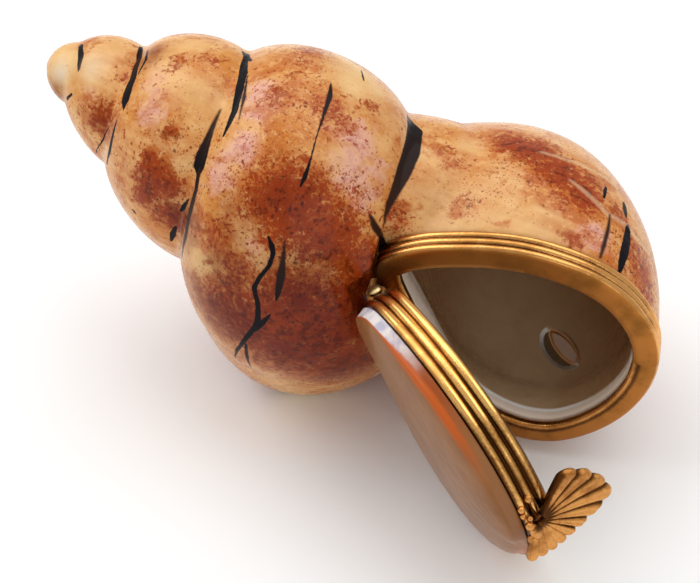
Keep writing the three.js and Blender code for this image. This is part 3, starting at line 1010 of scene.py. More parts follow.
@dataclass
class BodyWhorl:
    """The last whorl behind the mouth, and the hollow in it, in mm."""

    outline: MouthOutline
    depth: float = 33.0
    swell: float = 0.42
    power: float = 2.4
    lean: Pair = (-0.16, 0.2)
    lean_fade: float = 0.3
    rings: int = 44
    wall: float = 2.6
    lip_wall: float = 3.2
    lip_depth: float = 4.5
    undercut: float = 1.0
    cavity_power: float = 6.0
    cut_margin: float = 1.0
    bezel_height: float = 3.75
    spigot_inset: float = 1.2
    spigot_end: float = 1.65

    def slope(self, depth: Array) -> tuple[Array, Array]:
        """How large a slice is and how far it has leant, at a depth behind the bezel.

        Args:
            depth: The depths.

        Returns:
            The size, as a share of the mouth's, and the lean in mm.
        """
        share = np.clip(np.asarray(depth, float) / self.depth, 0, 1)
        size = np.sqrt(1 - share ** self.power) * (1 + self.swell * share * (1 - share))
        return size, depth * (1 - self.lean_fade * share)

    def ring(self, depth: float, wall: float) -> Array:
        """A slice of the whorl with a wall taken off it.

        Args:
            depth: How far behind the bezel the slice is.
            wall: The wall's thickness.

        Returns:
            The ring in the rim frame.
        """
        size, leant = self.slope(depth)
        ray = self.outline.ray * size
        length = np.linalg.norm(ray, axis=1, keepdims=True)
        ray = ray / np.maximum(length, 1e-9) * np.maximum(length - wall, 0.01)
        flat = ray + self.outline.centre + np.array(self.lean) * leant
        return raised(flat, -self.bezel_height - HALF_GAP - depth)

    def solid(self) -> Skin:
        """The whorl and the spigot that its bezel sits on.

        Returns:
            The solid, in the part's frame.
        """
        back = -self.bezel_height - HALF_GAP
        rings = [self.outline.ring(-self.spigot_inset, n) for n in (-self.spigot_end, back)]
        swing = np.linspace(0, math.pi / 2, self.rings, endpoint=False)
        rings += [self.ring(self.depth * math.sin(a), 0.0) for a in swing]
        return loft(rings).placed(RIM)

    def hollow(self) -> Skin:
        """What is taken out of the whorl, from in front of the mouth to the cavity's end.

        Returns:
            The hollow, in the part's frame.
        """
        rings = [self.outline.ring(-self.lip_wall, self.cut_margin)]
        rings += [self.ring(d, self.lip_wall) for d in np.linspace(0, self.lip_depth - self.undercut, 6)]
        deepest = self.depth - self.wall - self.cut_margin
        for i in range(self.rings + 1):
            swing = math.sin(math.pi / 2 * i / self.rings)
            ring = self.ring(self.lip_depth + (deepest - self.lip_depth) * swing, self.wall)
            closing = max(math.sqrt(1 - swing ** self.cavity_power), 0.02)
            middle = ring.mean(0)
            rings.append((ring - middle) * closing + middle)
        return loft(rings).placed(RIM)

    def wall_offset(self, points: Array) -> tuple[Array, Array]:
        """How far inside the whorl's outer surface each point is, and how deep behind the bezel.

        Args:
            points: Points in the part's frame, in mm.

        Returns:
            The offsets, over 1 on the hollow's surface, and the depths.
        """
        local = RIM.from_part(points)
        depth = -local[:, 2] - self.bezel_height - HALF_GAP
        size, leant = self.slope(np.clip(depth, 0, self.depth))
        flat = local[:, :2] - self.outline.centre - np.array(self.lean) * leant[:, None]
        offset = self.outline.reach(flat) * size - np.linalg.norm(flat, axis=1)
        return np.where((depth > -3.0) & (depth < self.depth), offset, -1.0), depth


@dataclass
class Spire:
    """The coiled part of the shell, swept round its axis, in mm."""

    apex: Place = (-48.1, 19.6, 14.3)
    yaw: float = 6.6
    pitch: float = 19.0
    roll: float = 47.6
    seam: tuple[tuple[float, ...], ...] = (
        (1.0, -4.0, 0.0, 0.2, 0.22), (1.5, -3.5, 2.1, 0.2, 0.2), (2.0, -1.2, 3.7, 0.2, 0.22),
        (2.5, 1.1, 4.8, 0.13, 0.13), (3.0, 7.4, 7.0, 0.24, 0.2), (3.5, 10.0, 9.9, 0.17, 0.19),
        (4.0, 20.4, 13.0, 0.24, 0.23), (4.5, 25.5, 16.7, 0.4, 0.42), (4.58, 28.0, 18.0, 0.58, 0.58),
        (4.75, 34.0, 16.8, 0.3, 0.36), (5.0, 44.0, 15.7, 0.22, 0.36), (5.25, 49.0, 14.5, 0.1, 0.26),
        (5.5, 57.0, 16.6, 0.1, 0.2), (6.0, 87.0, 0.0, 0.1, 0.1),
    )
    near_share: float = 0.22
    far_share: float = 0.24
    whorls: int = 6
    columns: int = 264
    rows: int = 20

    def __post_init__(self) -> None:
        """Works out the axis frame and the seam's curves."""
        table = np.array(self.seam)
        self._seam = [smooth_table(table[:, 0], table[:, k]) for k in range(1, 5)]
        yaw, pitch, roll = (math.radians(a) for a in (self.yaw, self.pitch, self.roll))
        along = np.array([math.cos(pitch) * math.cos(yaw), -math.cos(pitch) * math.sin(yaw), -math.sin(pitch)])
        level = np.array([math.sin(yaw), math.cos(yaw), 0.0])
        crown = math.cos(roll) * np.cross(along, level) + math.sin(roll) * level
        self.frame = Placement(CORNER + np.array(self.apex), np.array([along, crown, np.cross(along, crown)]))

    def profile(self, turn: Array, share: Array) -> tuple[Array, Array]:
        """A whorl's profile between two seams.

        Args:
            turn: Where on the spiral the near seam is, in turns.
            share: How far across the whorl, 0 at the near seam.

        Returns:
            The place along the axis and the radius.
        """
        a0, r0, near, far = (column(turn) for column in self._seam)
        a3, r3 = (column(turn + 1) for column in self._seam[:2])
        da, dr = a3 - a0, r3 - r0
        a1, r1 = a0 + self.near_share * da - near * dr, r0 + self.near_share * dr + near * da
        a2, r2 = a3 - self.far_share * da - far * dr, r3 - self.far_share * dr + far * da
        weights = ((1 - share) ** 3, 3 * share * (1 - share) ** 2, 3 * share ** 2 * (1 - share), share ** 3)
        place = sum(w * a for w, a in zip(weights, (a0, a1, a2, a3)))
        radius = sum(w * r for w, r in zip(weights, (r0, r1, r2, r3)))
        return place, np.maximum(radius, 0)

    def at(self, turn: Array, share: Array) -> Array:
        """Points on the spire, in the part's frame.

        Args:
            turn: The whorl and how far round it, as one number.
            share: How far across the whorl.

        Returns:
            One row a point.
        """
        place, radius = self.profile(turn, share)
        angle = 2 * math.pi * turn
        return self.frame.to_part(np.stack([place, radius * np.cos(angle), radius * np.sin(angle)], -1))

    def solid(self) -> Skin:
        """The whole coil as a closed skin.

        Returns:
            The coil.
        """
        rows = np.arange(self.rows * self.whorls + 1)
        whorl = np.minimum(rows // self.rows, self.whorls - 1)
        turn, row = np.meshgrid(np.arange(self.columns + 1) / self.columns, rows, indexing="ij")
        start = whorl[row] + turn
        points = self.at(start, row / self.rows - whorl[row]).reshape(-1, 3)
        wide = len(rows)
        faces = []
        for i in range(self.columns):
            low, high = i * wide, (i + 1) * wide
            faces += [(low + k, high + k, high + k + 1, low + k + 1) for k in range(wide - 1)]
        return Skin(points, faces)

    def nearest(self, points: Array) -> tuple[Array, Array]:
        """Which turn and share of the spiral each point is nearest to.

        Args:
            points: Points in the part's frame.

        Returns:
            The turns and the shares.
        """
        local = self.frame.from_part(points)
        radius = np.hypot(local[:, 1], local[:, 2])
        part = (np.arctan2(local[:, 2], local[:, 1]) / (2 * math.pi)) % 1.0
        best = np.full(len(points), np.inf)
        turns, shares = np.zeros(len(points)), np.zeros(len(points))
        for whorl in range(self.whorls):
            middle = np.full(len(points), 0.5)
            for width, count in ((0.5, 25), (0.03, 9), (0.006, 7)):
                tries = np.clip(middle[:, None] + np.linspace(-width, width, count), 0, 1)
                place, reach = self.profile((whorl + part)[:, None], tries)
                gap = (place - local[:, :1]) ** 2 + (reach - radius[:, None]) ** 2
                pick = gap.argmin(1)
                middle = tries[np.arange(len(points)), pick]
            gap = gap.min(1)
            closer = gap < best
            best = np.where(closer, gap, best)
            turns = np.where(closer, whorl + part, turns)
            shares = np.where(closer, middle, shares)
        return turns, shares


# What is painted on the shell


@dataclass(frozen=True)
class Stroke:
    """A black brush stroke: its points as picture column, row and half width, and its fade at either end."""

    points: tuple[Place, ...]
    fade: float = 0.0
    fade_end: float = 0.0


STROKES = (
    Stroke(((81, 45, 2), (81, 56, 2.8), (79, 68, 1.6), (78, 72, 0.5))),
    Stroke(((72, 94, 1), (67, 99, 1.7), (62, 104, 0.8))),
    Stroke(((141, 47, 1.5), (139, 60, 3), (133, 78, 3.8), (127, 93, 5), (125, 101, 4.5))),
    Stroke(((148, 50, 0.8), (146, 60, 1.4), (138, 75, 0.5))),
    Stroke(((117, 120, 0.7), (113, 135, 1.6), (110, 150, 2), (107, 165, 0.8))),
    Stroke(((110, 125, 0.4), (103, 140, 0.9), (96, 153, 0.5))),
    Stroke(((244, 53, 2.4), (251, 61, 1.2))),
    Stroke(((247, 55, 2.4), (243, 75, 4), (239, 92, 3.8), (235, 110, 3), (229, 124, 2.2), (223, 137, 0.8))),
    Stroke(((248, 75, 0.6), (244, 98, 1.8), (239, 120, 0.5)), 0.15, 0.3),
    Stroke(((221, 109, 0.9), (214, 124, 2), (208, 140, 3.2), (203, 155, 5.4), (200, 167, 5.8)), 0.3, 0),
    Stroke(((199, 172, 2.6), (196, 190, 2.6), (192, 205, 3), (186, 235, 2.6), (182, 258, 1)), 0.1, 0.3),
    Stroke(((189, 199, 0.8), (184, 207, 2.2), (180, 212, 0.8))),
    Stroke(((176, 226, 1.2), (173, 234, 2.6), (171, 241, 1))),
    Stroke(((133, 210, 1.6), (136, 214, 1))),
    Stroke(((331, 83, 0.6), (330, 96, 2.2), (327, 105, 1.7), (318, 132, 0.6), (311, 158, 0.7), (305, 177, 1.9),
            (300, 187, 0.6)), 0.1, 0),
    Stroke(((361, 70, 0.3), (363, 77, 1), (364, 82, 0.3))),
    Stroke(((268, 236, 0.8), (272, 246, 2.2), (273, 254, 2), (269, 266, 1.6), (259, 278, 1.8), (254, 288, 2),
            (258, 304, 2), (258, 319, 2.4), (255, 327, 2.2), (246, 338, 2), (237, 350, 1.5), (235, 358, 0.5))),
    Stroke(((271, 314, 0.8), (262, 323, 2.4), (255, 330, 2))),
    Stroke(((246, 344, 1.3), (247, 356, 1.5), (251, 367, 0.5))),
    Stroke(((285, 241, 0.8), (283, 260, 2), (281, 276, 3.4), (278, 292, 2.4), (276, 301, 0.6)), 0.25, 0),
    Stroke(((370, 215, 1.4), (375, 227, 3.3), (380, 238, 3.8), (382, 245, 3.4), (381, 254, 1.6)), 0.3, 0),
    Stroke(((409, 119, 3.2), (414, 131, 6.6), (411, 152, 7), (403, 172, 6.4), (396, 188, 4.8), (389, 204, 3.4),
            (385, 216, 1.8), (384, 225, 0.6)), 0, 0.35),
    Stroke(((606, 187, 1.2), (605, 192, 1.7), (604, 198, 1))),
    Stroke(((610, 214, 0.9), (608, 230, 1.7), (604, 245, 1.9), (600, 258, 1.2)), 0.3, 0.3),
    Stroke(((624, 203, 1.8), (625, 210, 2.4), (626, 217, 1.4))),
    Stroke(((628, 228, 2.6), (627, 240, 3.9), (624, 254, 4), (621, 265, 3), (619, 273, 1.4))),
)

# Strokes on the sides that the picture doesn't show: turn, share and half width in mm.
ROUND_STROKES = (
    ((2.95, 0.04, 0.1), (2.88, 0.03, 0.4), (2.80, 0.05, 0.5), (2.72, 0.08, 0.1)),
    ((3.62, 0.04, 0.1), (3.70, 0.03, 0.5), (3.78, 0.04, 0.6), (3.86, 0.07, 0.15)),
    ((3.60, 0.12, 0.1), (3.605, 0.35, 0.25), (3.615, 0.6, 0.1)),
    ((4.60, 0.05, 0.1), (4.68, 0.04, 0.6), (4.78, 0.05, 0.7), (4.86, 0.1, 0.1)),
    ((4.55, 0.2, 0.1), (4.558, 0.4, 0.3), (4.57, 0.62, 0.12)),
    ((4.75, 0.45, 0.1), (4.757, 0.6, 0.35), (4.767, 0.78, 0.1)),
    ((3.92, 0.5, 0.1), (3.926, 0.65, 0.25), (3.935, 0.8, 0.1)),
    ((2.55, 0.3, 0.1), (2.556, 0.6, 0.2), (2.565, 0.8, 0.08)),
)

# Fold crests on the body whorl, drawn pale: partly unpainted porcelain, partly a painted highlight.
FOLDS = (
    Stroke(((540, 152, 0.3), (564, 159, 0.9), (585, 167, 1.1), (602, 176, 0.9), (618, 190, 0.3))),
    Stroke(((570, 180, 0.3), (584, 191, 1.2), (607, 214, 1.6), (625, 225, 1.8), (638, 241, 1.6), (649, 256, 0.6))),
)

# Each patch is a picture column and row, a radius in pixels, and a strength.
PATCHES: dict[str, tuple[Quad, ...]] = {
    "warm": (
        (330, 130, 42, 0.45), (385, 120, 26, 0.45), (470, 170, 60, 0.35), (215, 75, 26, 0.4), (100, 85, 26, 0.3),
        (575, 215, 34, 0.9), (540, 165, 36, 0.8), (285, 200, 45, 0.8), (300, 330, 60, 0.8), (160, 150, 40, 0.5),
        (230, 230, 30, 0.5), (640, 260, 24, 0.7), (270, 60, 26, 0.4), (320, 60, 24, 0.3), (300, 100, 34, 0.6),
        (110, 130, 22, 0.7), (130, 165, 30, 0.6), (120, 60, 10, 0.4), (500, 130, 30, 0.4),
    ),
    # The rosy patches are mauve paint, except the one at column 597, row 236, which paints a window's pinkish
    # reflection.
    "rosy": (
        (262, 90, 15, 0.8), (258, 112, 14, 0.8), (243, 148, 18, 1), (221, 176, 18, 0.8), (358, 142, 20, 0.9),
        (352, 172, 24, 0.8), (364, 200, 18, 0.7), (254, 248, 18, 0.5), (160, 84, 18, 0.6), (597, 236, 17, 1),
        (378, 170, 16, 0.7), (150, 115, 16, 0.7), (640, 300, 18, 0.5), (255, 100, 18, 0.6), (90, 92, 12, 0.5),
    ),
    # Most pale patches are cream paint; those at the apex, columns 62 to 92, paint its white highlight.
    "pale": (
        (352, 68, 24, 0.8), (455, 190, 36, 0.35), (430, 222, 26, 0.4), (560, 225, 22, 0.6), (190, 48, 18, 0.4),
        (62, 66, 20, 1), (92, 72, 14, 0.8), (205, 262, 22, 0.7), (167, 140, 14, 0.9), (500, 225, 30, 0.55),
        (110, 50, 16, 0.5), (195, 92, 18, 0.5), (500, 180, 22, 0.5), (180, 165, 10, 0.8), (166, 205, 10, 0.6),
        (240, 240, 10, 0.6), (540, 235, 24, 0.65), (470, 145, 14, 0.5), (468, 226, 24, 0.6), (422, 150, 16, 0.6),
        (350, 84, 16, 0.8), (375, 90, 12, 0.6), (90, 60, 12, 0.6), (222, 100, 14, 0.5), (322, 265, 12, 0.5),
        (262, 262, 12, 0.5), (545, 210, 16, 0.5), (250, 228, 10, 0.6), (346, 162, 16, 0.5),
    ),
    "rusty": (
        (287, 205, 38, 1), (262, 195, 20, 0.6), (312, 192, 24, 0.65), (330, 235, 34, 0.9), (300, 335, 62, 0.95),
        (345, 315, 44, 0.95), (258, 330, 40, 0.75), (362, 268, 28, 1), (225, 296, 34, 0.62), (300, 66, 22, 0.25),
        (330, 110, 18, 0.55), (155, 180, 22, 0.9), (170, 133, 10, 0.95), (150, 160, 12, 0.9), (170, 185, 13, 0.9),
        (144, 195, 12, 0.9), (170, 215, 18, 0.9), (180, 60, 14, 0.45), (240, 275, 24, 0.5), (215, 240, 26, 0.45),
        (315, 50, 18, 0.5), (275, 95, 18, 0.45), (344, 128, 12, 0.5), (370, 105, 10, 0.4), (512, 143, 18, 0.95),
        (532, 150, 22, 1), (560, 172, 24, 1), (585, 196, 20, 0.95), (590, 180, 16, 0.6), (566, 200, 22, 0.55),
        (640, 262, 22, 0.6), (648, 290, 18, 0.5), (100, 118, 16, 0.7), (455, 160, 16, 0.4), (465, 205, 16, 0.5),
        (500, 180, 12, 0.4), (395, 215, 14, 0.6), (574, 240, 10, 0.8), (345, 365, 40, 0.85), (440, 150, 14, 0.3),
        (618, 215, 14, 0.6), (366, 292, 22, 1), (368, 320, 22, 0.9), (210, 60, 14, 0.35), (125, 75, 8, 0.3),
    ),
    "speckled": (
        (300, 95, 40, 0.8), (250, 180, 50, 0.8), (300, 230, 70, 0.9), (350, 190, 34, 0.9), (310, 330, 70, 1),
        (180, 160, 50, 0.8), (150, 200, 30, 0.8), (480, 190, 50, 0.6), (540, 160, 50, 0.9), (620, 250, 40, 0.9),
        (400, 225, 20, 1), (215, 290, 40, 0.8), (110, 110, 30, 0.6), (320, 55, 30, 0.8), (180, 75, 30, 0.5),
        (645, 290, 26, 0.9),
    ),
    # The bare patches near column 380 are unpainted porcelain; the two at the apex paint its white highlight.
    "bare": (
        (380, 345, 7, 0.6), (381, 372, 8, 0.6), (60, 73, 9, 0.6), (92, 66, 12, 0.25),
    ),
    # The dusky patches are partly a brown stain and partly painted shade on the lower, darker sides.
    "stained_and_shaded": (
        (300, 285, 44, 0.9), (230, 322, 46, 0.9), (330, 325, 44, 0.6), (290, 355, 44, 0.8), (340, 368, 40, 0.7),
        (228, 272, 32, 0.75), (235, 222, 26, 0.55), (186, 224, 24, 1), (150, 56, 16, 0.9), (56, 92, 14, 0.8),
        (290, 203, 34, 0.5), (200, 296, 30, 0.7), (150, 190, 20, 0.4), (102, 122, 14, 0.5), (366, 275, 20, 0.5),
        (430, 206, 28, 0.35),
    ),
}


@dataclass
class StrokeLayers:
    """Sorts the strokes into layers, and stores in each the offset from a stroke's line.

    A signed offset changes evenly across a stroke, so that a stroke may be finer than the mesh.
    """

    COUNT = 4
    apart: float = 3.0
    far: float = 10.0
    guard: float = 0.5
    thick: float = 0.4
    blunt: float = 0.6
    pointed: float = 1.4

    def sort(self, lines: list[Array]) -> list[int]:
        """Gives neighbouring strokes different layers.

        Args:
            lines: Each stroke's points.

        Returns:
            Each stroke's layer.
        """
        layers: list[int] = []
        for i, line in enumerate(lines):
            near = [layers[j] for j in range(i)
                    if np.linalg.norm(line[:, None, :3] - lines[j][None, :, :3], axis=2).min() < self.apart]
            free = [layer for layer in range(self.COUNT) if layer not in near]
            layers.append(free[0] if free else min(range(self.COUNT), key=near.count))
        return layers

    def lay(self, points: Array, normals: Array, lines: list[Array], fades: list[Pair]) -> list[Array]:
        """Works out every layer.

        Args:
            points: The surface's points.
            normals: The surface's normals at them.
            lines: Each stroke as rows of x, y, z and half width, in mm.
            fades: Each stroke's fade at its start and its end.

        Returns:
            One array of offset, half width and fade for each layer.
        """
        results = [np.tile([self.far, -self.far, 0.0], (len(points), 1)) for _ in range(self.COUNT)]
        nearest = [np.full(len(points), self.far) for _ in range(self.COUNT)]
        for line, (fade, fade_end), layer in zip(lines, fades, self.sort(lines)):
            low, high = line[:, :3].min(0) - self.apart, line[:, :3].max(0) + self.apart
            held = np.flatnonzero(((points > low) & (points < high)).all(1))
            last = len(line) - 2
            for k, (start, end) in enumerate(zip(line, line[1:])):
                run = end[:3] - start[:3]
                length = max(np.linalg.norm(run), 1e-6)
                away = points[held] - start[:3]
                raw = away @ run / length ** 2
                t = np.clip(raw, 0, 1)
                gap = away - t[:, None] * run
                distance = np.linalg.norm(gap, axis=1)
                lateral = (gap * np.cross(run / length, normals[held])).sum(1)
                past = np.maximum((raw - t) * length, 0) if k == last else 0.0
                before = np.maximum((t - raw) * length, 0) if k == 0 else 0.0
                beyond = past + before
                offset = np.where(beyond > 0, lateral, np.sign(lateral) * distance)
                half = start[3] + (end[3] - start[3]) * t
                width = half - beyond * np.where(half > self.thick, self.blunt, self.pointed)
                width -= 3 * np.maximum(np.abs(offset) - half - self.guard, 0)
                mixed = fade + (fade_end - fade) * ((k + t) / (last + 1))
                closer = distance < nearest[layer][held]
                pick = held[closer]
                nearest[layer][pick] = distance[closer]
                results[layer][pick] = np.column_stack([offset, width, mixed])[closer]
        return results


@dataclass(frozen=True)
class Dimple:
    """The leaf-shaped dimple in the cavity, placed and sized by picture columns and rows, with a reflection, a
    shadow and a glint painted in it.
    """

    middle: Pair = (560.0, 348.5)
    half_length: float = 25.0
    half_width: float = 15.5
    turn: float = 50.0
    leaf_middle: Pair = (565.0, 348.0)
    leaf_half_length: float = 22.5
    leaf_half_width: float = 7.5
    bowl_power: float = 2.0
    leaf_power: float = 1.35
    reach: float = 9.0
    outside: float = 3.0

    def field(self, points: Array, surface: BVHTree) -> Array:
        """How far each point lies out in the dimple's bowl and in the leaf in it.

        Args:
            points: The shell's points.
            surface: The shell's surface.

        Returns:
            For each point the bowl's share, the leaf's share, both 1 at the edge, and its left side.
        """
        middle, _ = VIEW.spot(surface, *self.middle)
        columns, rows = VIEW.project(points)
        cos, sin = math.cos(math.radians(self.turn)), math.sin(math.radians(self.turn))
        shares = []
        for (x, y), length, width, power in (
                (self.middle, self.half_length, self.half_width, self.bowl_power),
                (self.leaf_middle, self.leaf_half_length, self.leaf_half_width, self.leaf_power)):
            along = ((columns - x) * cos + (rows - y) * sin) / length
            across = (-(columns - x) * sin + (rows - y) * cos) / width
            shares.append((np.abs(along) ** 2 + np.abs(across) ** power) ** 0.5)
        left = np.clip(-(columns - self.leaf_middle[0]) * sin + (rows - self.leaf_middle[1]) * cos, 0, 1)
        result = np.column_stack([*shares, left])
        result[np.linalg.norm(points - middle, axis=1) >= self.reach] = (self.outside, self.outside, 0.0)
        return np.minimum(result, self.outside)


@dataclass
class PaintedShell:
    """The hollow porcelain shell: spire, body whorl, cavity and foot."""

    outline: MouthOutline
    spire: Spire = field(default_factory=Spire)
    dimple: Dimple = field(default_factory=Dimple)
    loaded_brush: float = 1.35
    lip_low: Pair = (-13.0, -3.0)
    lip_slant: float = 1.9
    lip_left: Pair = (2.5, 7.0)
    lip_turned: float = 2.2
    glaze_from: float = 0.4
    inner_smoothing: int = 60
    hinge_room: float = 3.3
    hinge_room_top: float = 4.2
    hinge_room_length: float = 40.0
    seam_slant: float = 0.56
    side_clearance: float = 0.85
    tip_radius: float = 0.3
    voxel: float = 0.45
    smoothing: int = 7
    block: float = 120.0
    hollow_from: float = 0.7
    wash_falloff: float = 0.7
    wash_power: float = 2.4
    wash_overlap: float = 0.25
    facing_start: float = 0.3
    facing_full: float = 0.25
    girth: float = 14.0
    streak_pitch: Pair = (0.55, 2.6)
    seed: int = 71
    waves: int = 6
    wave_height: float = 0.26
    wave_length: float = 14.0
    wave_spread: float = 10.0
    unseen: dict[str, float] = field(default_factory=lambda: {
        "warm": 0.45, "rosy": 0.25, "pale": 0.25, "rusty": 0.5, "speckled": 0.65})

    def __post_init__(self) -> None:
        """Works out the body whorl from the same outline."""
        self.whorl = BodyWhorl(self.outline)

    def mouth_block(self) -> Skin:
        """The space in front of the bezel's back face, right of the hinge side and the seam above it.

        Returns:
            The space.
        """
        left, corner, far = -self.side_clearance, self.outline.knots[0][1], self.block
        flat = np.array([
            (left, -far), (far, -far), (far, far), (left + (far - corner) * self.seam_slant, far), (left, corner)])
        return loft([raised(flat, n) for n in (-self.whorl.bezel_height - HALF_GAP, far)]).placed(RIM)

    def hinge_space(self) -> Skin:
        """The room in which the barrel and the lid's back edge swing.

        Returns:
            The room.
        """
        low = self.hinge_room_top - self.hinge_room_length
        section = [(self.hinge_room, h) for h in (self.hinge_room_top, low)]
        return turned(section, 64, (HINGE_F, 0.0, HINGE_N)).placed(RIM)

    def ground(self) -> Skin:
        """What is ground off to make the flat foot."""
        flat = np.array([(-1, -1), (1, -1), (1, 1), (-1, 1)]) * self.block
        return loft([raised(flat, z) for z in (-self.block, 0.0)])

    def build(self) -> Object:
        """Joins and hollows the shell, then melts its edges as glaze does.

        Returns:
            The shell, with what its paint reads.
        """
        shell = self.spire.solid().to_object("painted_shell")
        self.close_tip(shell)
        carve(shell, self.mouth_block().to_object("mouth_block"))
        carve(shell, self.whorl.solid().to_object("whorl"), "UNION")
        for skin, name in ((self.whorl.hollow(), "hollow"), (self.hinge_space(), "hinge_space"),
                           (self.ground(), "ground")):
            carve(shell, skin.to_object(name))
        remesh = shell.modifiers.new("melt", "REMESH")
        remesh.mode = "VOXEL"
        remesh.voxel_size = self.voxel * MM
        smooth = shell.modifiers.new("soften", "SMOOTH")
        smooth.factor = 0.5
        smooth.iterations = self.smoothing
        settle(shell)
        self.melt_inside(shell)
        shade_smooth(shell)
        self.prepare(shell)
        return shell

    def melt_inside(self, shell: Object) -> None:
        """Softens the cavity's walls and corners further, as the thick glaze in it does.

        Args:
            shell: The joined and hollowed shell.
        """
        offset, depth = self.whorl.wall_offset(points_of(shell))
        inner = np.flatnonzero((offset > 1.0) & (depth > self.glaze_from))
        group = shell.vertex_groups.new(name="inside")
        group.add(inner.tolist(), 1.0, "REPLACE")
        smooth = shell.modifiers.new("melt_inside", "SMOOTH")
        smooth.factor = 0.5
        smooth.iterations = self.inner_smoothing
        smooth.vertex_group = group.name
        settle(shell)
        shell.vertex_groups.clear()

    def close_tip(self, shell: Object) -> None:
        """Takes off the crowded faces at the very tip of the coil and closes the small hole.

        Args:
            shell: The coil.
        """
        tip = Vector(self.spire.frame.to_part(np.array([self.spire.seam[0][1], 0.0, 0.0])) * MM)
        with editing(shell.data) as work:
            crowded = [v for v in work.verts if (v.co - tip).length < self.tip_radius * MM]
            bmesh.ops.delete(work, geom=crowded, context="VERTS")
            bmesh.ops.holes_fill(work, edges=[e for e in work.edges if e.is_boundary], sides=0)
            bmesh.ops.recalc_face_normals(work, faces=work.faces)

    def prepare(self, shell: Object) -> None:
        """Stores what the paint reads: washes, dabs, strokes, growth lines and the hollow.

        Args:
            shell: The finished mesh.
        """
        points = points_of(shell)
        normals = np.array([v.normal for v in shell.data.vertices])
        surface = BVHTree.FromPolygons(points.tolist(), [tuple(p.vertices) for p in shell.data.polygons])
        offset, depth = self.whorl.wall_offset(points)
        in_rim = RIM.from_part(points)
        depth += np.interp(in_rim[:, 1], self.lip_low, (self.lip_slant, 0.0))
        depth -= np.interp(in_rim[:, 0], self.lip_left, (self.lip_turned, 0.0))
        inside = np.clip(offset - self.hollow_from, 0, 1)
        # The third number, how far a point faces up, places the cavity's painted light and painted highlight.
        store(shell, "hollow", np.column_stack([inside, depth, np.clip(normals[:, 2], 0, 1)]))
        turns, shares = self.spire.nearest(points)
        round_pitch, across_pitch = self.streak_pitch
        round_mm = turns * 2 * math.pi * self.girth
        store(shell, "growth", np.column_stack([round_mm * round_pitch, shares * across_pitch, np.floor(turns)]))
        fields = {name: self.spread(points, surface, patches) for name, patches in PATCHES.items()}
        hidden = 1 - self.seen_share(points, normals)
        for name, wash in self.unseen_wash(points).items():
            fields[name] = fields[name] + hidden * wash
        store(shell, "washes", np.column_stack([fields[k] for k in ("warm", "rosy", "pale")]))
        store(shell, "dabs", np.column_stack([fields[k] for k in ("rusty", "speckled", "bare")]))
        store(shell, "dusk", fields["stained_and_shaded"])
        lines, fades = self.lines(surface, STROKES)
        around = self.round_lines(surface)
        layers = StrokeLayers().lay(points, normals, lines + around, fades + [(0.0, 0.0)] * len(around))
        for layer, values in enumerate(layers):
            store(shell, f"ink_{layer}", values)
        store(shell, "folds", StrokeLayers().lay(points, normals, *self.lines(surface, FOLDS))[0])
        store(shell, "dimple", self.dimple.field(points, surface))

    def seen_share(self, points: Array, normals: Array) -> Array:
        """How squarely each point faces where the picture is taken from.

        Args:
            points: The points.
            normals: Their normals.

        Returns:
            A share from 0 to 1 for each.
        """
        to_view = np.array(VIEW.location) - points
        facing = (to_view * normals).sum(1) / np.linalg.norm(to_view, axis=1)
        return np.clip(facing / self.facing_full + self.facing_start, 0, 1)

    def unseen_wash(self, points: Array) -> dict[str, Array]:
        """Slow waves of colour for the sides that the picture doesn't show.

        Args:
            points: The points.

        Returns:
            A field for each kind of wash.
        """
        result = {}
        for i, (kind, level) in enumerate(self.unseen.items()):
            rng = np.random.default_rng(self.seed + i)
            total = np.zeros(len(points))
            for _ in range(self.waves):
                wave = rng.normal(size=3)
                wave *= 2 * math.pi / (self.wave_length + self.wave_spread * rng.random()) / np.linalg.norm(wave)
                total += np.sin(points @ wave + rng.random() * 2 * math.pi)
            result[kind] = np.clip(level + self.wave_height * total, 0, 1)
        return result

    def spread(self, points: Array, surface: BVHTree, patches: Sequence[Quad]) -> Array:
        """The strength of a kind of wash at each point.

        Args:
            points: The points.
            surface: The shell's surface.
            patches: The patches of that kind.

        Returns:
            One strength a point, at most 1.
        """
        total = np.zeros(len(points))
        for x, y, radius, strength in patches:
            centre, per_pixel = VIEW.spot(surface, x, y)
            away = np.linalg.norm(points - centre, axis=1) / (radius * per_pixel)
            own = np.exp(-self.wash_falloff * away ** self.wash_power)
            total = np.maximum(total, strength * own) + self.wash_overlap * total * own * strength
        return np.clip(total, 0, 1)

    def lines(self, surface: BVHTree, strokes: Sequence[Stroke]) -> tuple[list[Array], list[Pair]]:
        """Carries strokes onto the shell from where the picture is taken.

        Args:
            surface: The shell's surface.
            strokes: The strokes.

        Returns:
            Each stroke as rows of x, y, z and half width, and each stroke's fades.
        """
        lines = []
        for stroke in strokes:
            spots = [(VIEW.spot(surface, x, y), half * self.loaded_brush) for x, y, half in stroke.points]
            lines.append(np.array([[*spot[0], half * spot[1]] for spot, half in spots if spot]))
        return lines, [(stroke.fade, stroke.fade_end) for stroke in strokes]

    def round_lines(self, surface: BVHTree) -> list[Array]:
        """Lays the strokes of the sides that the picture doesn't show along the coil.

        Args:
            surface: The shell's surface.

        Returns:
            Each stroke as rows of x, y, z and half width.
        """
        lines = []
        for stroke in ROUND_STROKES:
            table = np.array(stroke)
            fine = np.linspace(0, len(table) - 1, 4 * len(table))
            turn, share, half = (np.interp(fine, np.arange(len(table)), table[:, k]) for k in range(3))
            lines.append(np.array([
                [*surface.find_nearest(Vector(point))[0], width]
                for point, width in zip(self.spire.at(turn, share), half)]))
        return lines


# Gilt mounts


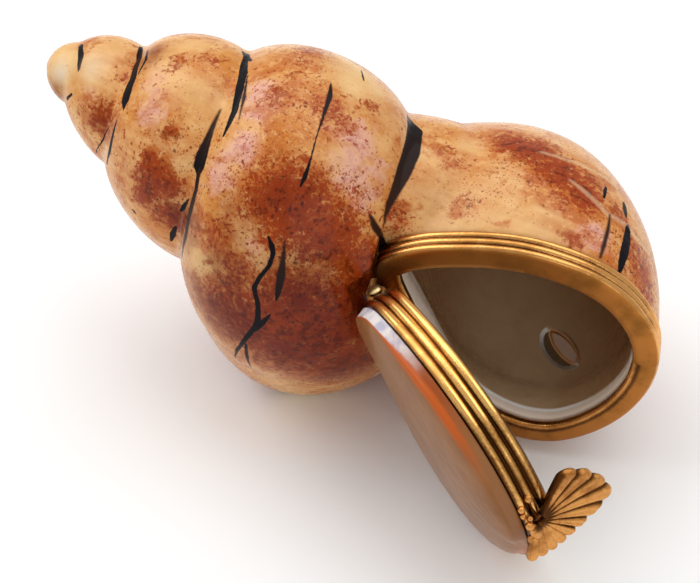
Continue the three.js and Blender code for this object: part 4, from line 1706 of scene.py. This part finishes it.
class MountTree:
    """A Geometry Nodes tree that builds a gilt mount on an object's own mesh, and gives it a finish."""

    NAME: str
    SOCKETS: dict[str, str]

    def tree(self) -> Tree:
        """Builds the tree the first time, and gives the same one after that.

        Returns:
            The tree.
        """
        found = bpy.data.node_groups.get(self.NAME)
        if found:
            return found
        made = bpy.data.node_groups.new(self.NAME, "GeometryNodeTree")
        made.interface.new_socket("Geometry", in_out="OUTPUT", socket_type="NodeSocketGeometry")
        for name, kind in {"Geometry": "Geometry", "Finish": "Material", **self.SOCKETS}.items():
            made.interface.new_socket(name, in_out="INPUT", socket_type=f"NodeSocket{kind}")
        g = Graph(made)
        given = g.add("NodeGroupInput").outputs
        real = g.add("GeometryNodeRealizeInstances", {"Geometry": self.wire(g, given)})
        done = g.add("GeometryNodeSetMaterial", {"Geometry": real.outputs[0], "Material": given["Finish"]})
        g.add("NodeGroupOutput", {"Geometry": done.outputs[0]})
        return made

    def wire(self, g: Graph, given: Sequence[Socket]) -> Socket:
        """Wires the tree's own nodes, and gives their geometry."""
        raise NotImplementedError

    def run(self, target: Object, finish: Finish, values: dict[str, object]) -> None:
        """Runs the tree on an object and keeps the result as its mesh.

        Args:
            target: The object.
            finish: The finish of the result.
            values: The other inputs' values, by name.
        """
        change = target.modifiers.new(self.NAME, "NODES")
        change.node_group = self.tree()
        values = {"Finish": finish.material(), **values}
        for item in change.node_group.interface.items_tree:
            if item.item_type == "SOCKET" and item.in_out == "INPUT" and item.name in values:
                change[item.identifier] = values[item.name]
        settle(target)


class SweepTree(MountTree):
    """Runs a profile along a closed path in its own XY plane, and lets it wander a little as cast metal does."""

    NAME = "reeded_band"
    SOCKETS = {"Profile": "Object", "Wander": "Float", "Wander Pitch": "Float"}

    def wire(self, g: Graph, given: Sequence[Socket]) -> Socket:
        """Wires the sweep.

        Args:
            g: The tree's graph.
            given: The tree's inputs.

        Returns:
            The swept band.
        """
        path = g.add("GeometryNodeMeshToCurve", {"Mesh": given["Geometry"]})
        upright = g.add("GeometryNodeSetCurveNormal", {"Curve": path.outputs[0]}, mode="Z_UP")
        source = g.add("GeometryNodeObjectInfo", {"Object": given["Profile"]})
        profile = g.add("GeometryNodeMeshToCurve", {"Mesh": source.outputs["Geometry"]})
        sweep = g.add("GeometryNodeCurveToMesh", {"Curve": upright.outputs[0], "Profile Curve": profile.outputs[0]})
        noise = g.add("ShaderNodeTexNoise", {"Scale": given["Wander Pitch"], "Detail": 1.0})
        push = g.scaled(g.vector("SUBTRACT", noise.outputs["Color"], (0.5, 0.5, 0.5)), given["Wander"])
        return g.add("GeometryNodeSetPosition", {"Geometry": sweep.outputs[0], "Offset": push}).outputs[0]


class CopyTree(MountTree):
    """Sets copies of a piece on points, each with the size stored there."""

    NAME = "set_out_copies"
    SOCKETS = {"Copy": "Object"}

    def wire(self, g: Graph, given: Sequence[Socket]) -> Socket:
        """Wires the copies.

        Args:
            g: The tree's graph.
            given: The tree's inputs.

        Returns:
            The copies.
        """
        piece = g.add("GeometryNodeObjectInfo", {"Object": given["Copy"]}).outputs["Geometry"]
        size = g.add("GeometryNodeInputNamedAttribute", {"Name": "size"}, data_type="FLOAT").outputs["Attribute"]
        inputs = {"Points": given["Geometry"], "Instance": piece, "Scale": size}
        return g.add("GeometryNodeInstanceOnPoints", inputs).outputs[0]


def wire_object(name: str, points: Array, closed: bool = True) -> Object:
    """A line of points as an object, in metres.

    Args:
        name: The object's name.
        points: The points, in mm.
        closed: Whether the last joins the first.

    Returns:
        The object, linked to the scene.
    """
    mesh = bpy.data.meshes.new(name)
    edges = [(i, (i + 1) % len(points)) for i in range(len(points) if closed else len(points) - 1)]
    mesh.from_pydata((points * MM).tolist(), edges, [])
    return linked(name, mesh)


@dataclass
class Bezel:
    """A reeded brass band round the mouth, with a flange where the two halves meet."""

    half: Half
    outline: MouthOutline
    height: float = 3.75
    ribs: int = 3
    rise: float = 0.55
    wall: float = 0.9
    flange: float = 3.0
    flange_thickness: float = 1.2
    edge: float = 0.12
    rib_steps: int = 14
    corner_shade: float = 7.0
    bead: float = 0.9
    bead_below: float = -18.0
    # Painted shade on the lid's band towards the clasp, standing in for the dark that it reflects there.
    dim_from: float = 23.0
    dim_over: float = 8.0
    dim_shade: float = 0.36
    wander: float = 0.00003
    wander_pitch: float = 350.0
    hinge_corner: float = 3.0
    bead_width: float = 0.1
    inner_tarnish: float = 0.35
    mating_tarnish: float = 0.12
    corner_tarnish: float = 0.7
    seam_tarnish: float = 0.6
    matte_from: float = 0.25

    def profile(self) -> Array:
        """The band's section: outwards from the mouth's outline, and back from the mating plane.

        Returns:
            Its points, in mm.
        """
        band = self.height / self.ribs
        t = np.linspace(0, 1, self.rib_steps, endpoint=False)
        rows = []
        for i in range(self.ribs):
            out = self.rise * np.sin(math.pi * t) ** 0.62
            rows += list(zip(out, band * (i + t)))
        e = self.edge
        rows += [
            (0.0, self.height - e), (-e, self.height), (-self.wall + e, self.height), (-self.wall, self.height - e),
            (-self.wall, self.flange_thickness + e), (-self.wall - e, self.flange_thickness),
            (-self.flange + 3 * e, self.flange_thickness), (-self.flange + e, self.flange_thickness - e),
            (-self.flange, self.flange_thickness - 3 * e), (-self.flange, 2.5 * e), (-self.flange + 0.7 * e, e),
            (-self.flange + 2.5 * e, 0.0), (-2.1, 0.0), (-1.4, 0.0), (-0.7, 0.0), (-e, 0.0),
        ]
        return np.array(rows[1:])

    def build(self, room: Skin | None = None) -> Object:
        """Sweeps the section round the mouth.

        Args:
            room: The space for the hinge's barrel, which is cut out.

        Returns:
            The band.
        """
        section = self.profile()
        flat = -np.column_stack([
            section[:, 0], self.half.value * (HALF_GAP + section[:, 1]), np.zeros(len(section))])
        profile = wire_object("section", flat)
        band = wire_object(f"{self.half.body}_band", raised(self.outline.points, 0.0))
        SweepTree().run(band, GILT, {
            "Profile": profile, "Wander": self.wander, "Wander Pitch": self.wander_pitch})
        bpy.data.objects.remove(profile)
        self.turn_out(band)
        if room:
            carve(band, room.to_object("room"))
        shade_smooth(band)
        return band

    def turn_out(self, band: Object) -> None:
        """Carries the band into place, points its faces outwards and stores its grooves and painted shade.

        Args:
            band: The band, in the rim frame.
        """
        local = points_of(band)
        along, up, out = local.T
        flat = local[:, :2] - self.outline.centre
        away = np.linalg.norm(flat, axis=1) - self.outline.reach(flat)
        groove = np.where(away > -0.35, 1.0 - np.clip(away / self.rise, 0, 1), self.inner_tarnish)
        mating = np.abs(out) < HALF_GAP + 0.1
        # Painted shade: the gilt darkens towards the hinge corner, where the open lid hangs over it.
        corner = np.clip(1 - np.hypot(along, up - self.hinge_corner) / self.corner_shade, 0, 1)
        beaded = up < self.bead_below
        seam = (np.abs(away + self.flange - self.bead) < self.bead_width) & beaded & mating
        # Painted shade: the lid's band darkens towards the clasp.
        dim = self.dim_shade * np.clip((along - self.dim_from) / self.dim_over, 0, 1) * (self.half is Half.LID)
        tarnish = np.where(mating, self.mating_tarnish, groove + dim)
        # Stored under the name groove, this darkness also holds the painted shade near the hinge and on the lid
        # band.
        store(band, "groove", tarnish + self.corner_tarnish * corner + self.seam_tarnish * seam)
        inner = np.where(beaded, self.bead - self.bead_width, self.matte_from)
        store(band, "matte", (mating & (away > inner - self.flange)).astype(float))
        move_points(band, placement_of(self.half).to_part(local))
        with editing(band.data) as work:
            bmesh.ops.recalc_face_normals(work, faces=work.faces)


@dataclass
class DomedLid:
    """The lid's porcelain: a wall that is higher along the upper edge, then a low dome."""

    outline: MouthOutline
    wall_top: float = 5.8
    wall_low: float = 4.9
    wall_slant: float = 0.62
    wall_start: float = -1.0
    rise_length: float = 4.0
    dome_top: float = 7.8
    crown: Pair = (24.0, -13.0)
    wall_inset: float = 0.5
    thickness: float = 2.4
    hollow_wall: float = 4.0
    lip_wall: float = 3.2
    bezel_height: float = 4.2
    bezel_wall: float = 0.9
    flange_thickness: float = 1.2
    sill_gap: float = 0.02
    sill_round: float = 0.12
    paint_depth: float = 1.2
    rings: int = 40

    def wall_at(self, flat: Array) -> Array:
        """The height of the wall's top where it passes points of the outline.

        Args:
            flat: The points, in the rim plane.

        Returns:
            The heights.
        """
        share = (flat[:, 1] + self.wall_slant * flat[:, 0] - self.wall_start) / self.rise_length
        share = np.clip(share, 0, 1)
        return self.wall_low + (self.wall_top - self.wall_low) * share ** 2 * (3 - 2 * share)

    def dome(self, shrink: float, base: Array) -> list[Array]:
        """Rings of the dome, moved inwards by a thickness.

        Args:
            shrink: The thickness.
            base: The height at which the dome starts, for each point of the outline.

        Returns:
            The rings, from the base to the top.
        """
        centre = np.array(self.outline.centre)
        foot = self.outline.ring(-self.wall_inset - shrink, 0.0)[:, :2]
        result = []
        for angle in np.arange(self.rings + 1) * (math.pi / 2) / self.rings:
            size = max(math.cos(angle), 0.004)
            middle = centre + (np.array(self.crown) - centre) * (1 - size)
            out = base + (self.dome_top - shrink - base) * math.sin(angle)
            result.append(np.column_stack([(foot - centre) * size + middle, out]))
        return result

    def build(self, room: Skin) -> Object:
        """Lofts the lid with its hollow.

        Args:
            room: The space for the hinge's barrel, which is cut out.

        Returns:
            The lid's porcelain.
        """
        ring = self.outline.ring
        inset = -self.bezel_wall - FIT_GAP
        end = self.flange_thickness + HALF_GAP + FIT_GAP
        wall = self.wall_at(self.outline.points)
        sill = self.bezel_height + HALF_GAP + self.sill_gap
        start = sill + self.sill_round
        outside = [ring(inset, end), ring(inset, sill), ring(-self.sill_round, sill), ring(0, start)]
        for t in (0.25, 0.5, 0.75):
            row = ring(-self.wall_inset * t, 0.0)
            row[:, 2] = start + (wall - sill - self.sill_round) * t
            outside.append(row)
        outside += self.dome(0.0, wall)
        inside = [ring(-self.lip_wall, end + (self.hollow_wall - end) * t) for t in (0, 0.25, 0.5, 0.75)]
        inside += self.dome(self.thickness, np.full(self.outline.steps, self.hollow_wall))
        lid = loft([*reversed(inside), *outside]).placed(LID).to_object("domed_lid")
        carve(lid, room.to_object("room"))
        self.prepare(lid, LID.from_part(points_of(lid)))
        shade_smooth(lid)
        return lid

    def prepare(self, lid: Object, local: Array) -> None:
        """Stores what the lid's paint reads.

        Args:
            lid: The lid.
            local: Its points in the shut lid's frame.
        """
        centre = np.array(self.outline.centre)
        flat, out = local[:, :2] - centre, local[:, 2]
        reach = self.outline.reach(flat)
        length = np.linalg.norm(flat, axis=1)
        wall = self.wall_at(centre + flat / np.maximum(length, 0.01)[:, None] * reach[:, None])
        share = np.clip((out - wall) / (self.dome_top - wall), 0, 1)
        size = np.sqrt(1 - share ** 2)
        own = flat - (np.array(self.crown) - centre) * (1 - size[:, None])
        skin = (self.outline.reach(own) - self.wall_inset) * size
        above = out - wall
        inwards = np.maximum(reach - length - self.wall_inset, 0)
        edge = np.where(above < 0, above, np.hypot(above, inwards))
        store(lid, "lid_place", np.column_stack([edge, reach - length, local[:, 0]]))
        deep = skin - np.linalg.norm(own, axis=1) > self.paint_depth
        store(lid, "hollow", (deep & (out < self.dome_top - self.paint_depth)).astype(float))


@dataclass
class Hinge:
    """The tubes of the hinge and the wire through them, in mm."""

    count: int = 5
    pitch: float = 2.7
    radius: float = 1.4
    bore: float = 0.75
    wire: float = 0.5
    head: float = 0.98
    head_height: float = 0.4
    leaf: float = 0.9
    leaf_height: float = 2.9
    round_steps: int = 40
    edge: float = 0.1
    rounding: float = 0.28
    leaf_inset: float = 0.02
    bore_tarnish: float = 0.7

    def tube(self, half: Half) -> Object:
        """One tube with its leaf, in the middle of its own frame.

        Args:
            half: The half that it belongs to.

        Returns:
            The tube.
        """
        end, e = (self.pitch - FIT_GAP) / 2, self.edge
        turn = np.linspace(0, math.pi / 2, 5)
        outer = self.radius + self.rounding * (np.sin(turn) - 1)
        far = end + self.rounding * (np.cos(turn) - 1)
        section = np.concatenate([
            [(self.bore, -end + e), (self.bore + e, -end)], np.column_stack([outer, -far]),
            np.column_stack([outer, far])[::-1], [(self.bore + e, end), (self.bore, end - e)]])
        result = turned(section, self.round_steps, join_ends=True).to_object("tube")
        plate = linked("leaf", bpy.data.meshes.new("leaf"))
        with editing(plate.data) as box:
            bmesh.ops.create_cube(box, size=1.0)
            for v in box.verts:
                v.co = Vector((
                    (v.co.x + 0.5) * self.leaf - self.radius + self.leaf_inset, v.co.y * 2 * (end - e),
                    half.value * (v.co.z + 0.5) * self.leaf_height)) * MM
            bmesh.ops.bevel(box, geom=box.edges, offset=e * MM, segments=2, profile=0.5, affect="EDGES")
            bmesh.ops.recalc_face_normals(box, faces=box.faces)
        bore = [(self.bore * 0.999, y) for y in (-self.pitch, self.pitch)]
        carve(plate, turned(bore, self.round_steps).to_object("bore"))
        carve(result, plate, "UNION")
        return result

    def axis_middle(self) -> Place:
        """The middle of the barrel, in the rim frame."""
        return HINGE_F, HINGE_TOP - self.count * self.pitch / 2, HINGE_N

    def room(self) -> Skin:
        """The space round the barrel that the lid and its band leave free.

        Returns:
            The space.
        """
        half = self.count * self.pitch / 2 + 3 * FIT_GAP
        section = [(self.radius + FIT_GAP, y) for y in (-half, half)]
        return turned(section, self.round_steps, self.axis_middle()).placed(LID)

    def build(self, half: Half) -> Object:
        """Sets out the tubes of one half.

        Args:
            half: Which half.

        Returns:
            Its tubes.
        """
        first = 0 if half is Half.SHELL else 1
        spots = [(0.0, HINGE_TOP - (i + 0.5) * self.pitch, 0.0) for i in range(first, self.count, 2)]
        row = wire_object(f"{half.body}_knuckles", np.array(spots), closed=False)
        store(row, "size", np.ones(len(spots)))
        tube = self.tube(half)
        CopyTree().run(row, HINGE_GILT, {"Copy": tube})
        bpy.data.objects.remove(tube)
        local = points_of(row)
        across = np.hypot(local[:, 0], local[:, 2])
        store(row, "groove", np.where(across < self.bore + 0.02, self.bore_tarnish, 0.0))
        move_points(row, placement_of(half).to_part(local + [HINGE_F, 0.0, HINGE_N]))
        shade_smooth(row)
        return row

    def pin(self) -> Object:
        """The wire through the tubes, with a peened head at each end.

        Returns:
            The pin.
        """
        half = self.count * self.pitch / 2 + FIT_GAP
        crown = np.linspace(0, math.pi / 2, 7)
        cap = [(max(self.head * math.cos(a), 0.003), half + self.head_height * math.sin(a)) for a in crown]
        section = [(r, -y) for r, y in reversed(cap)] + [(self.wire, -half), (self.wire, half)] + cap
        result = turned(section, self.round_steps, self.axis_middle()).placed(RIM).to_object("hinge_wire")
        store(result, "groove", np.zeros(len(result.data.vertices)))
        shade_smooth(result)
        return result


@dataclass
class ScallopClasp:
    """The cast scallop that the lid is lifted by, in mm."""

    place: Place = (34.5, -14.3, 2.7)
    edge: tuple[Pair, ...] = (
        (-128, 5.9), (-93, 5.4), (-60, 5.6), (-40, 6.3), (-25, 7.6), (-5, 9.6), (15, 8.9), (50, 7.4))
    root: float = 0.6
    lobe: float = 0.5
    lobes: int = 11
    flare: float = 0.014
    thickness: float = 0.9
    rib: float = 0.35
    rim: float = 0.1
    steps_per_lobe: int = 18
    rings: int = 44
    plain_from: float = -62.0
    plain_over: float = 30.0
    plain_share: float = 0.3
    fine_rib: float = 0.16
    wave_power: float = 0.7
    root_fade: float = 3.0
    dark_middle: Pair = (0.5, -0.1)
    dark_depth: float = 1.5
    dark_radius: float = 1.7
    dark_most: float = 1.1
    bead_tarnish: float = 0.1
    boss_radii: Place = (0.7, 1.3, 0.8)
    boss_place: Pair = (-1.4, 0.9)
    beads: tuple[Quad, ...] = (
        (-1.2, 3.5, -1.8, 0.48), (-0.8, 2.6, -0.2, 0.62), (-0.5, 1.9, 1.2, 0.5), (-0.3, 1.0, 1.4, 0.38),
        (0.5, -0.15, 1.3, 0.58), (0.3, -2.5, 1.6, 0.62), (0.8, -3.6, 0.75, 0.5), (0.6, -3.3, 1.5, 0.4),
        (0.5, 0.9, 0.9, 0.34), (0.9, -1.6, 1.2, 0.4))

    def fan(self) -> Skin:
        """The ribbed plate of the fan, with a rounded, scalloped rim.

        Returns:
            The fan.
        """
        table = np.array(self.edge)
        reach = smooth_table(table[:, 0], table[:, 1])
        steps = self.lobes * self.steps_per_lobe
        share = np.sin(np.linspace(0, math.pi / 2, self.rings + 1))
        slim = np.sqrt(np.clip(1 - np.clip((share - 1 + self.rim) / self.rim, 0, 0.99) ** 2, 0, 1))
        rows = []
        for i in range(steps + 1):
            degrees = table[0, 0] + (table[-1, 0] - table[0, 0]) * i / steps
            angle = math.radians(degrees)
            wave = abs(math.sin(math.pi * i / self.steps_per_lobe)) ** self.wave_power
            fine = abs(math.sin(2 * math.pi * i / self.steps_per_lobe))
            plain = min(max((degrees - self.plain_from) / self.plain_over + 0.5, self.plain_share), 1.0)
            far = float(reach(np.array([degrees]))[0]) - self.lobe * (1 - wave)
            radius = self.root + (far - self.root) * share
            away = self.flare * radius ** 2
            h, n = radius * math.sin(angle), -radius * math.cos(angle)
            middle = away + self.thickness / 2
            ridge = (self.rib * wave + self.fine_rib * fine) * plain * np.sqrt(share) * slim
            outer = np.column_stack([middle + self.thickness / 2 * slim + ridge, h, n])
            inner = np.column_stack([middle - self.thickness / 2 * slim, h, n])
            rows.append(np.concatenate([outer, inner[::-1]]))
        return loft(rows)

    def ball(self, radii: Sequence[float], centre: Sequence[float] = (0.0, 0.0, 0.0)) -> Skin:
        """A rounded boss, by its three half sizes and its middle in the clasp's own frame."""
        section = [(max(math.cos(a), 0.002), math.sin(a)) for a in np.linspace(-math.pi / 2, math.pi / 2, 21)]
        return turned(section, 40).placed(Placement(np.array(centre), np.diag(radii)))

    def build(self) -> Object:
        """Joins the fan, the boss under it and the beads at its root.

        Returns:
            The clasp.
        """
        frame = Placement(np.array(self.place), np.eye(3))
        clasp = self.fan().placed(frame).to_object("scallop_clasp")
        boss = self.ball(self.boss_radii, (self.boss_radii[0], *self.boss_place))
        carve(clasp, boss.placed(frame).to_object("umbo"), "UNION")
        table = np.array(self.beads)
        row = wire_object("beads", table[:, :3] + self.place, closed=False)
        store(row, "size", table[:, 3])
        bead = self.ball((1.0, 1.0, 1.0)).to_object("bead")
        CopyTree().run(row, CAST_GILT, {"Copy": bead})
        bpy.data.objects.remove(bead)
        local = np.concatenate([points_of(clasp), points_of(row)])
        join(clasp, row)
        store(clasp, "groove", self.grooves(local - self.place))
        move_points(clasp, LID.to_part(local))
        shade_smooth(clasp)
        return clasp

    def grooves(self, own: Array) -> Array:
        """How deep in a groove between ribs each point lies.

        Args:
            own: Points in the clasp's own frame.

        Returns:
            A value from 0 to 1 for each.
        """
        start, end = self.edge[0][0], self.edge[-1][0]
        angle = np.degrees(np.arctan2(own[:, 1], -own[:, 2]))
        wave = np.abs(np.sin(math.pi * (angle - start) / (end - start) * self.lobes))
        plain = np.clip((angle - self.plain_from) / self.plain_over + 0.5, self.plain_share, 1)
        far = np.clip(np.hypot(own[:, 1], own[:, 2]) / self.root_fade, 0, 1)
        between = (1 - wave ** self.wave_power) * far * plain
        dark = np.linalg.norm(own[:, 1:] - self.dark_middle, axis=1) / self.dark_radius
        hollow = np.clip(self.dark_depth - dark, 0, self.dark_most)
        proud = np.zeros(len(own), bool)
        for *bead, size in self.beads:
            proud |= np.linalg.norm(own - bead, axis=1) < size * 1.05
        return np.where(proud, self.bead_tarnish, between + hollow)


# The studio


@dataclass(frozen=True)
class SoftBox:
    """A soft lamp: where it hangs, where it points, its two sides in metres and its power."""

    name: str
    place: Place
    aim: Place
    width: float
    height: float
    power: float

    def build(self) -> None:
        """Hangs the lamp."""
        data = bpy.data.lights.new(self.name, "AREA")
        data.shape = "RECTANGLE"
        data.size, data.size_y = self.width, self.height
        data.energy = self.power
        lamp = linked(self.name, data)
        lamp.location = self.place
        lamp.rotation_mode = "QUATERNION"
        lamp.rotation_quaternion = (Vector(self.aim) - Vector(self.place)).to_track_quat("-Z", "Y")


@dataclass
class Studio:
    """A pale floor, soft lamps and the camera."""

    floor_side: float = 3.0
    lamps: tuple[SoftBox, ...] = (
        SoftBox("window", (-0.45, 0.1, 0.6), (0.0, 0.0, 0.02), 0.7, 0.6, 2.6),
        SoftBox("overhead", (0.15, 0.25, 0.8), (0.0, 0.0, 0.02), 0.9, 0.7, 3.0),
        SoftBox("front_fill", (0.35, -0.6, 0.35), (0.0, 0.0, 0.03), 0.5, 0.5, 0.6),
    )
    ambient: float = 0.58
    sky: Colour = (1.0, 0.99, 0.97)

    def build(self) -> None:
        """Lays the floor, hangs the lamps and sets the camera."""
        mesh = bpy.data.meshes.new("floor")
        s = self.floor_side / 2
        mesh.from_pydata([(-s, -s, 0), (s, -s, 0), (s, s, 0), (-s, s, 0)], [], [(0, 1, 2, 3)])
        mesh.materials.append(FloorPaper().material())
        floor = linked("floor", mesh)
        for lamp in self.lamps:
            lamp.build()
        world = bpy.data.worlds.new("studio")
        world.use_nodes = True
        sky = world.node_tree.nodes["Background"]
        Graph(world.node_tree).fill(sky, {"Color": self.sky, "Strength": self.ambient})
        bpy.context.scene.world = world
        bpy.context.scene.view_settings.view_transform = "Standard"
        VIEW.camera()


def main() -> None:
    """Builds the box and its studio."""
    logging.basicConfig(level=logging.INFO, format="%(name)s: %(message)s")
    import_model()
    outline = MouthOutline()
    hand_over(PaintedShell(outline).build(), PAINT, Half.SHELL, Slot.PAINTED, "shell_body")
    hand_over(Bezel(Half.SHELL, outline).build(), GILT, Half.SHELL, Slot.GILT, "body_bezel")
    hinge, lid = Hinge(), DomedLid(outline.for_lid())
    lid_bezel = Bezel(Half.LID, lid.outline, lid.bezel_height)
    hand_over(lid_bezel.build(hinge.room()), BRIGHTENED_LID_GILT, Half.LID, Slot.GILT, "lid_bezel")
    hand_over(lid.build(hinge.room()), LID_PAINT, Half.LID, Slot.LID, "lid_shell")
    body_knuckles = ("body_knuckle_1", "body_knuckle_2", "body_knuckle_3")
    hand_over(hinge.build(Half.SHELL), HINGE_GILT, Half.SHELL, Slot.GILT, *body_knuckles)
    hand_over(hinge.build(Half.LID), HINGE_GILT, Half.LID, Slot.GILT, "lid_knuckle_1", "lid_knuckle_2")
    hand_over(hinge.pin(), PALE_GILT, Half.SHELL, Slot.GILT, "hinge_pin")
    hand_over(ScallopClasp().build(), CAST_GILT, Half.LID, Slot.GILT, "clasp")
    Studio().build()


if __name__ == "__main__":
    main()
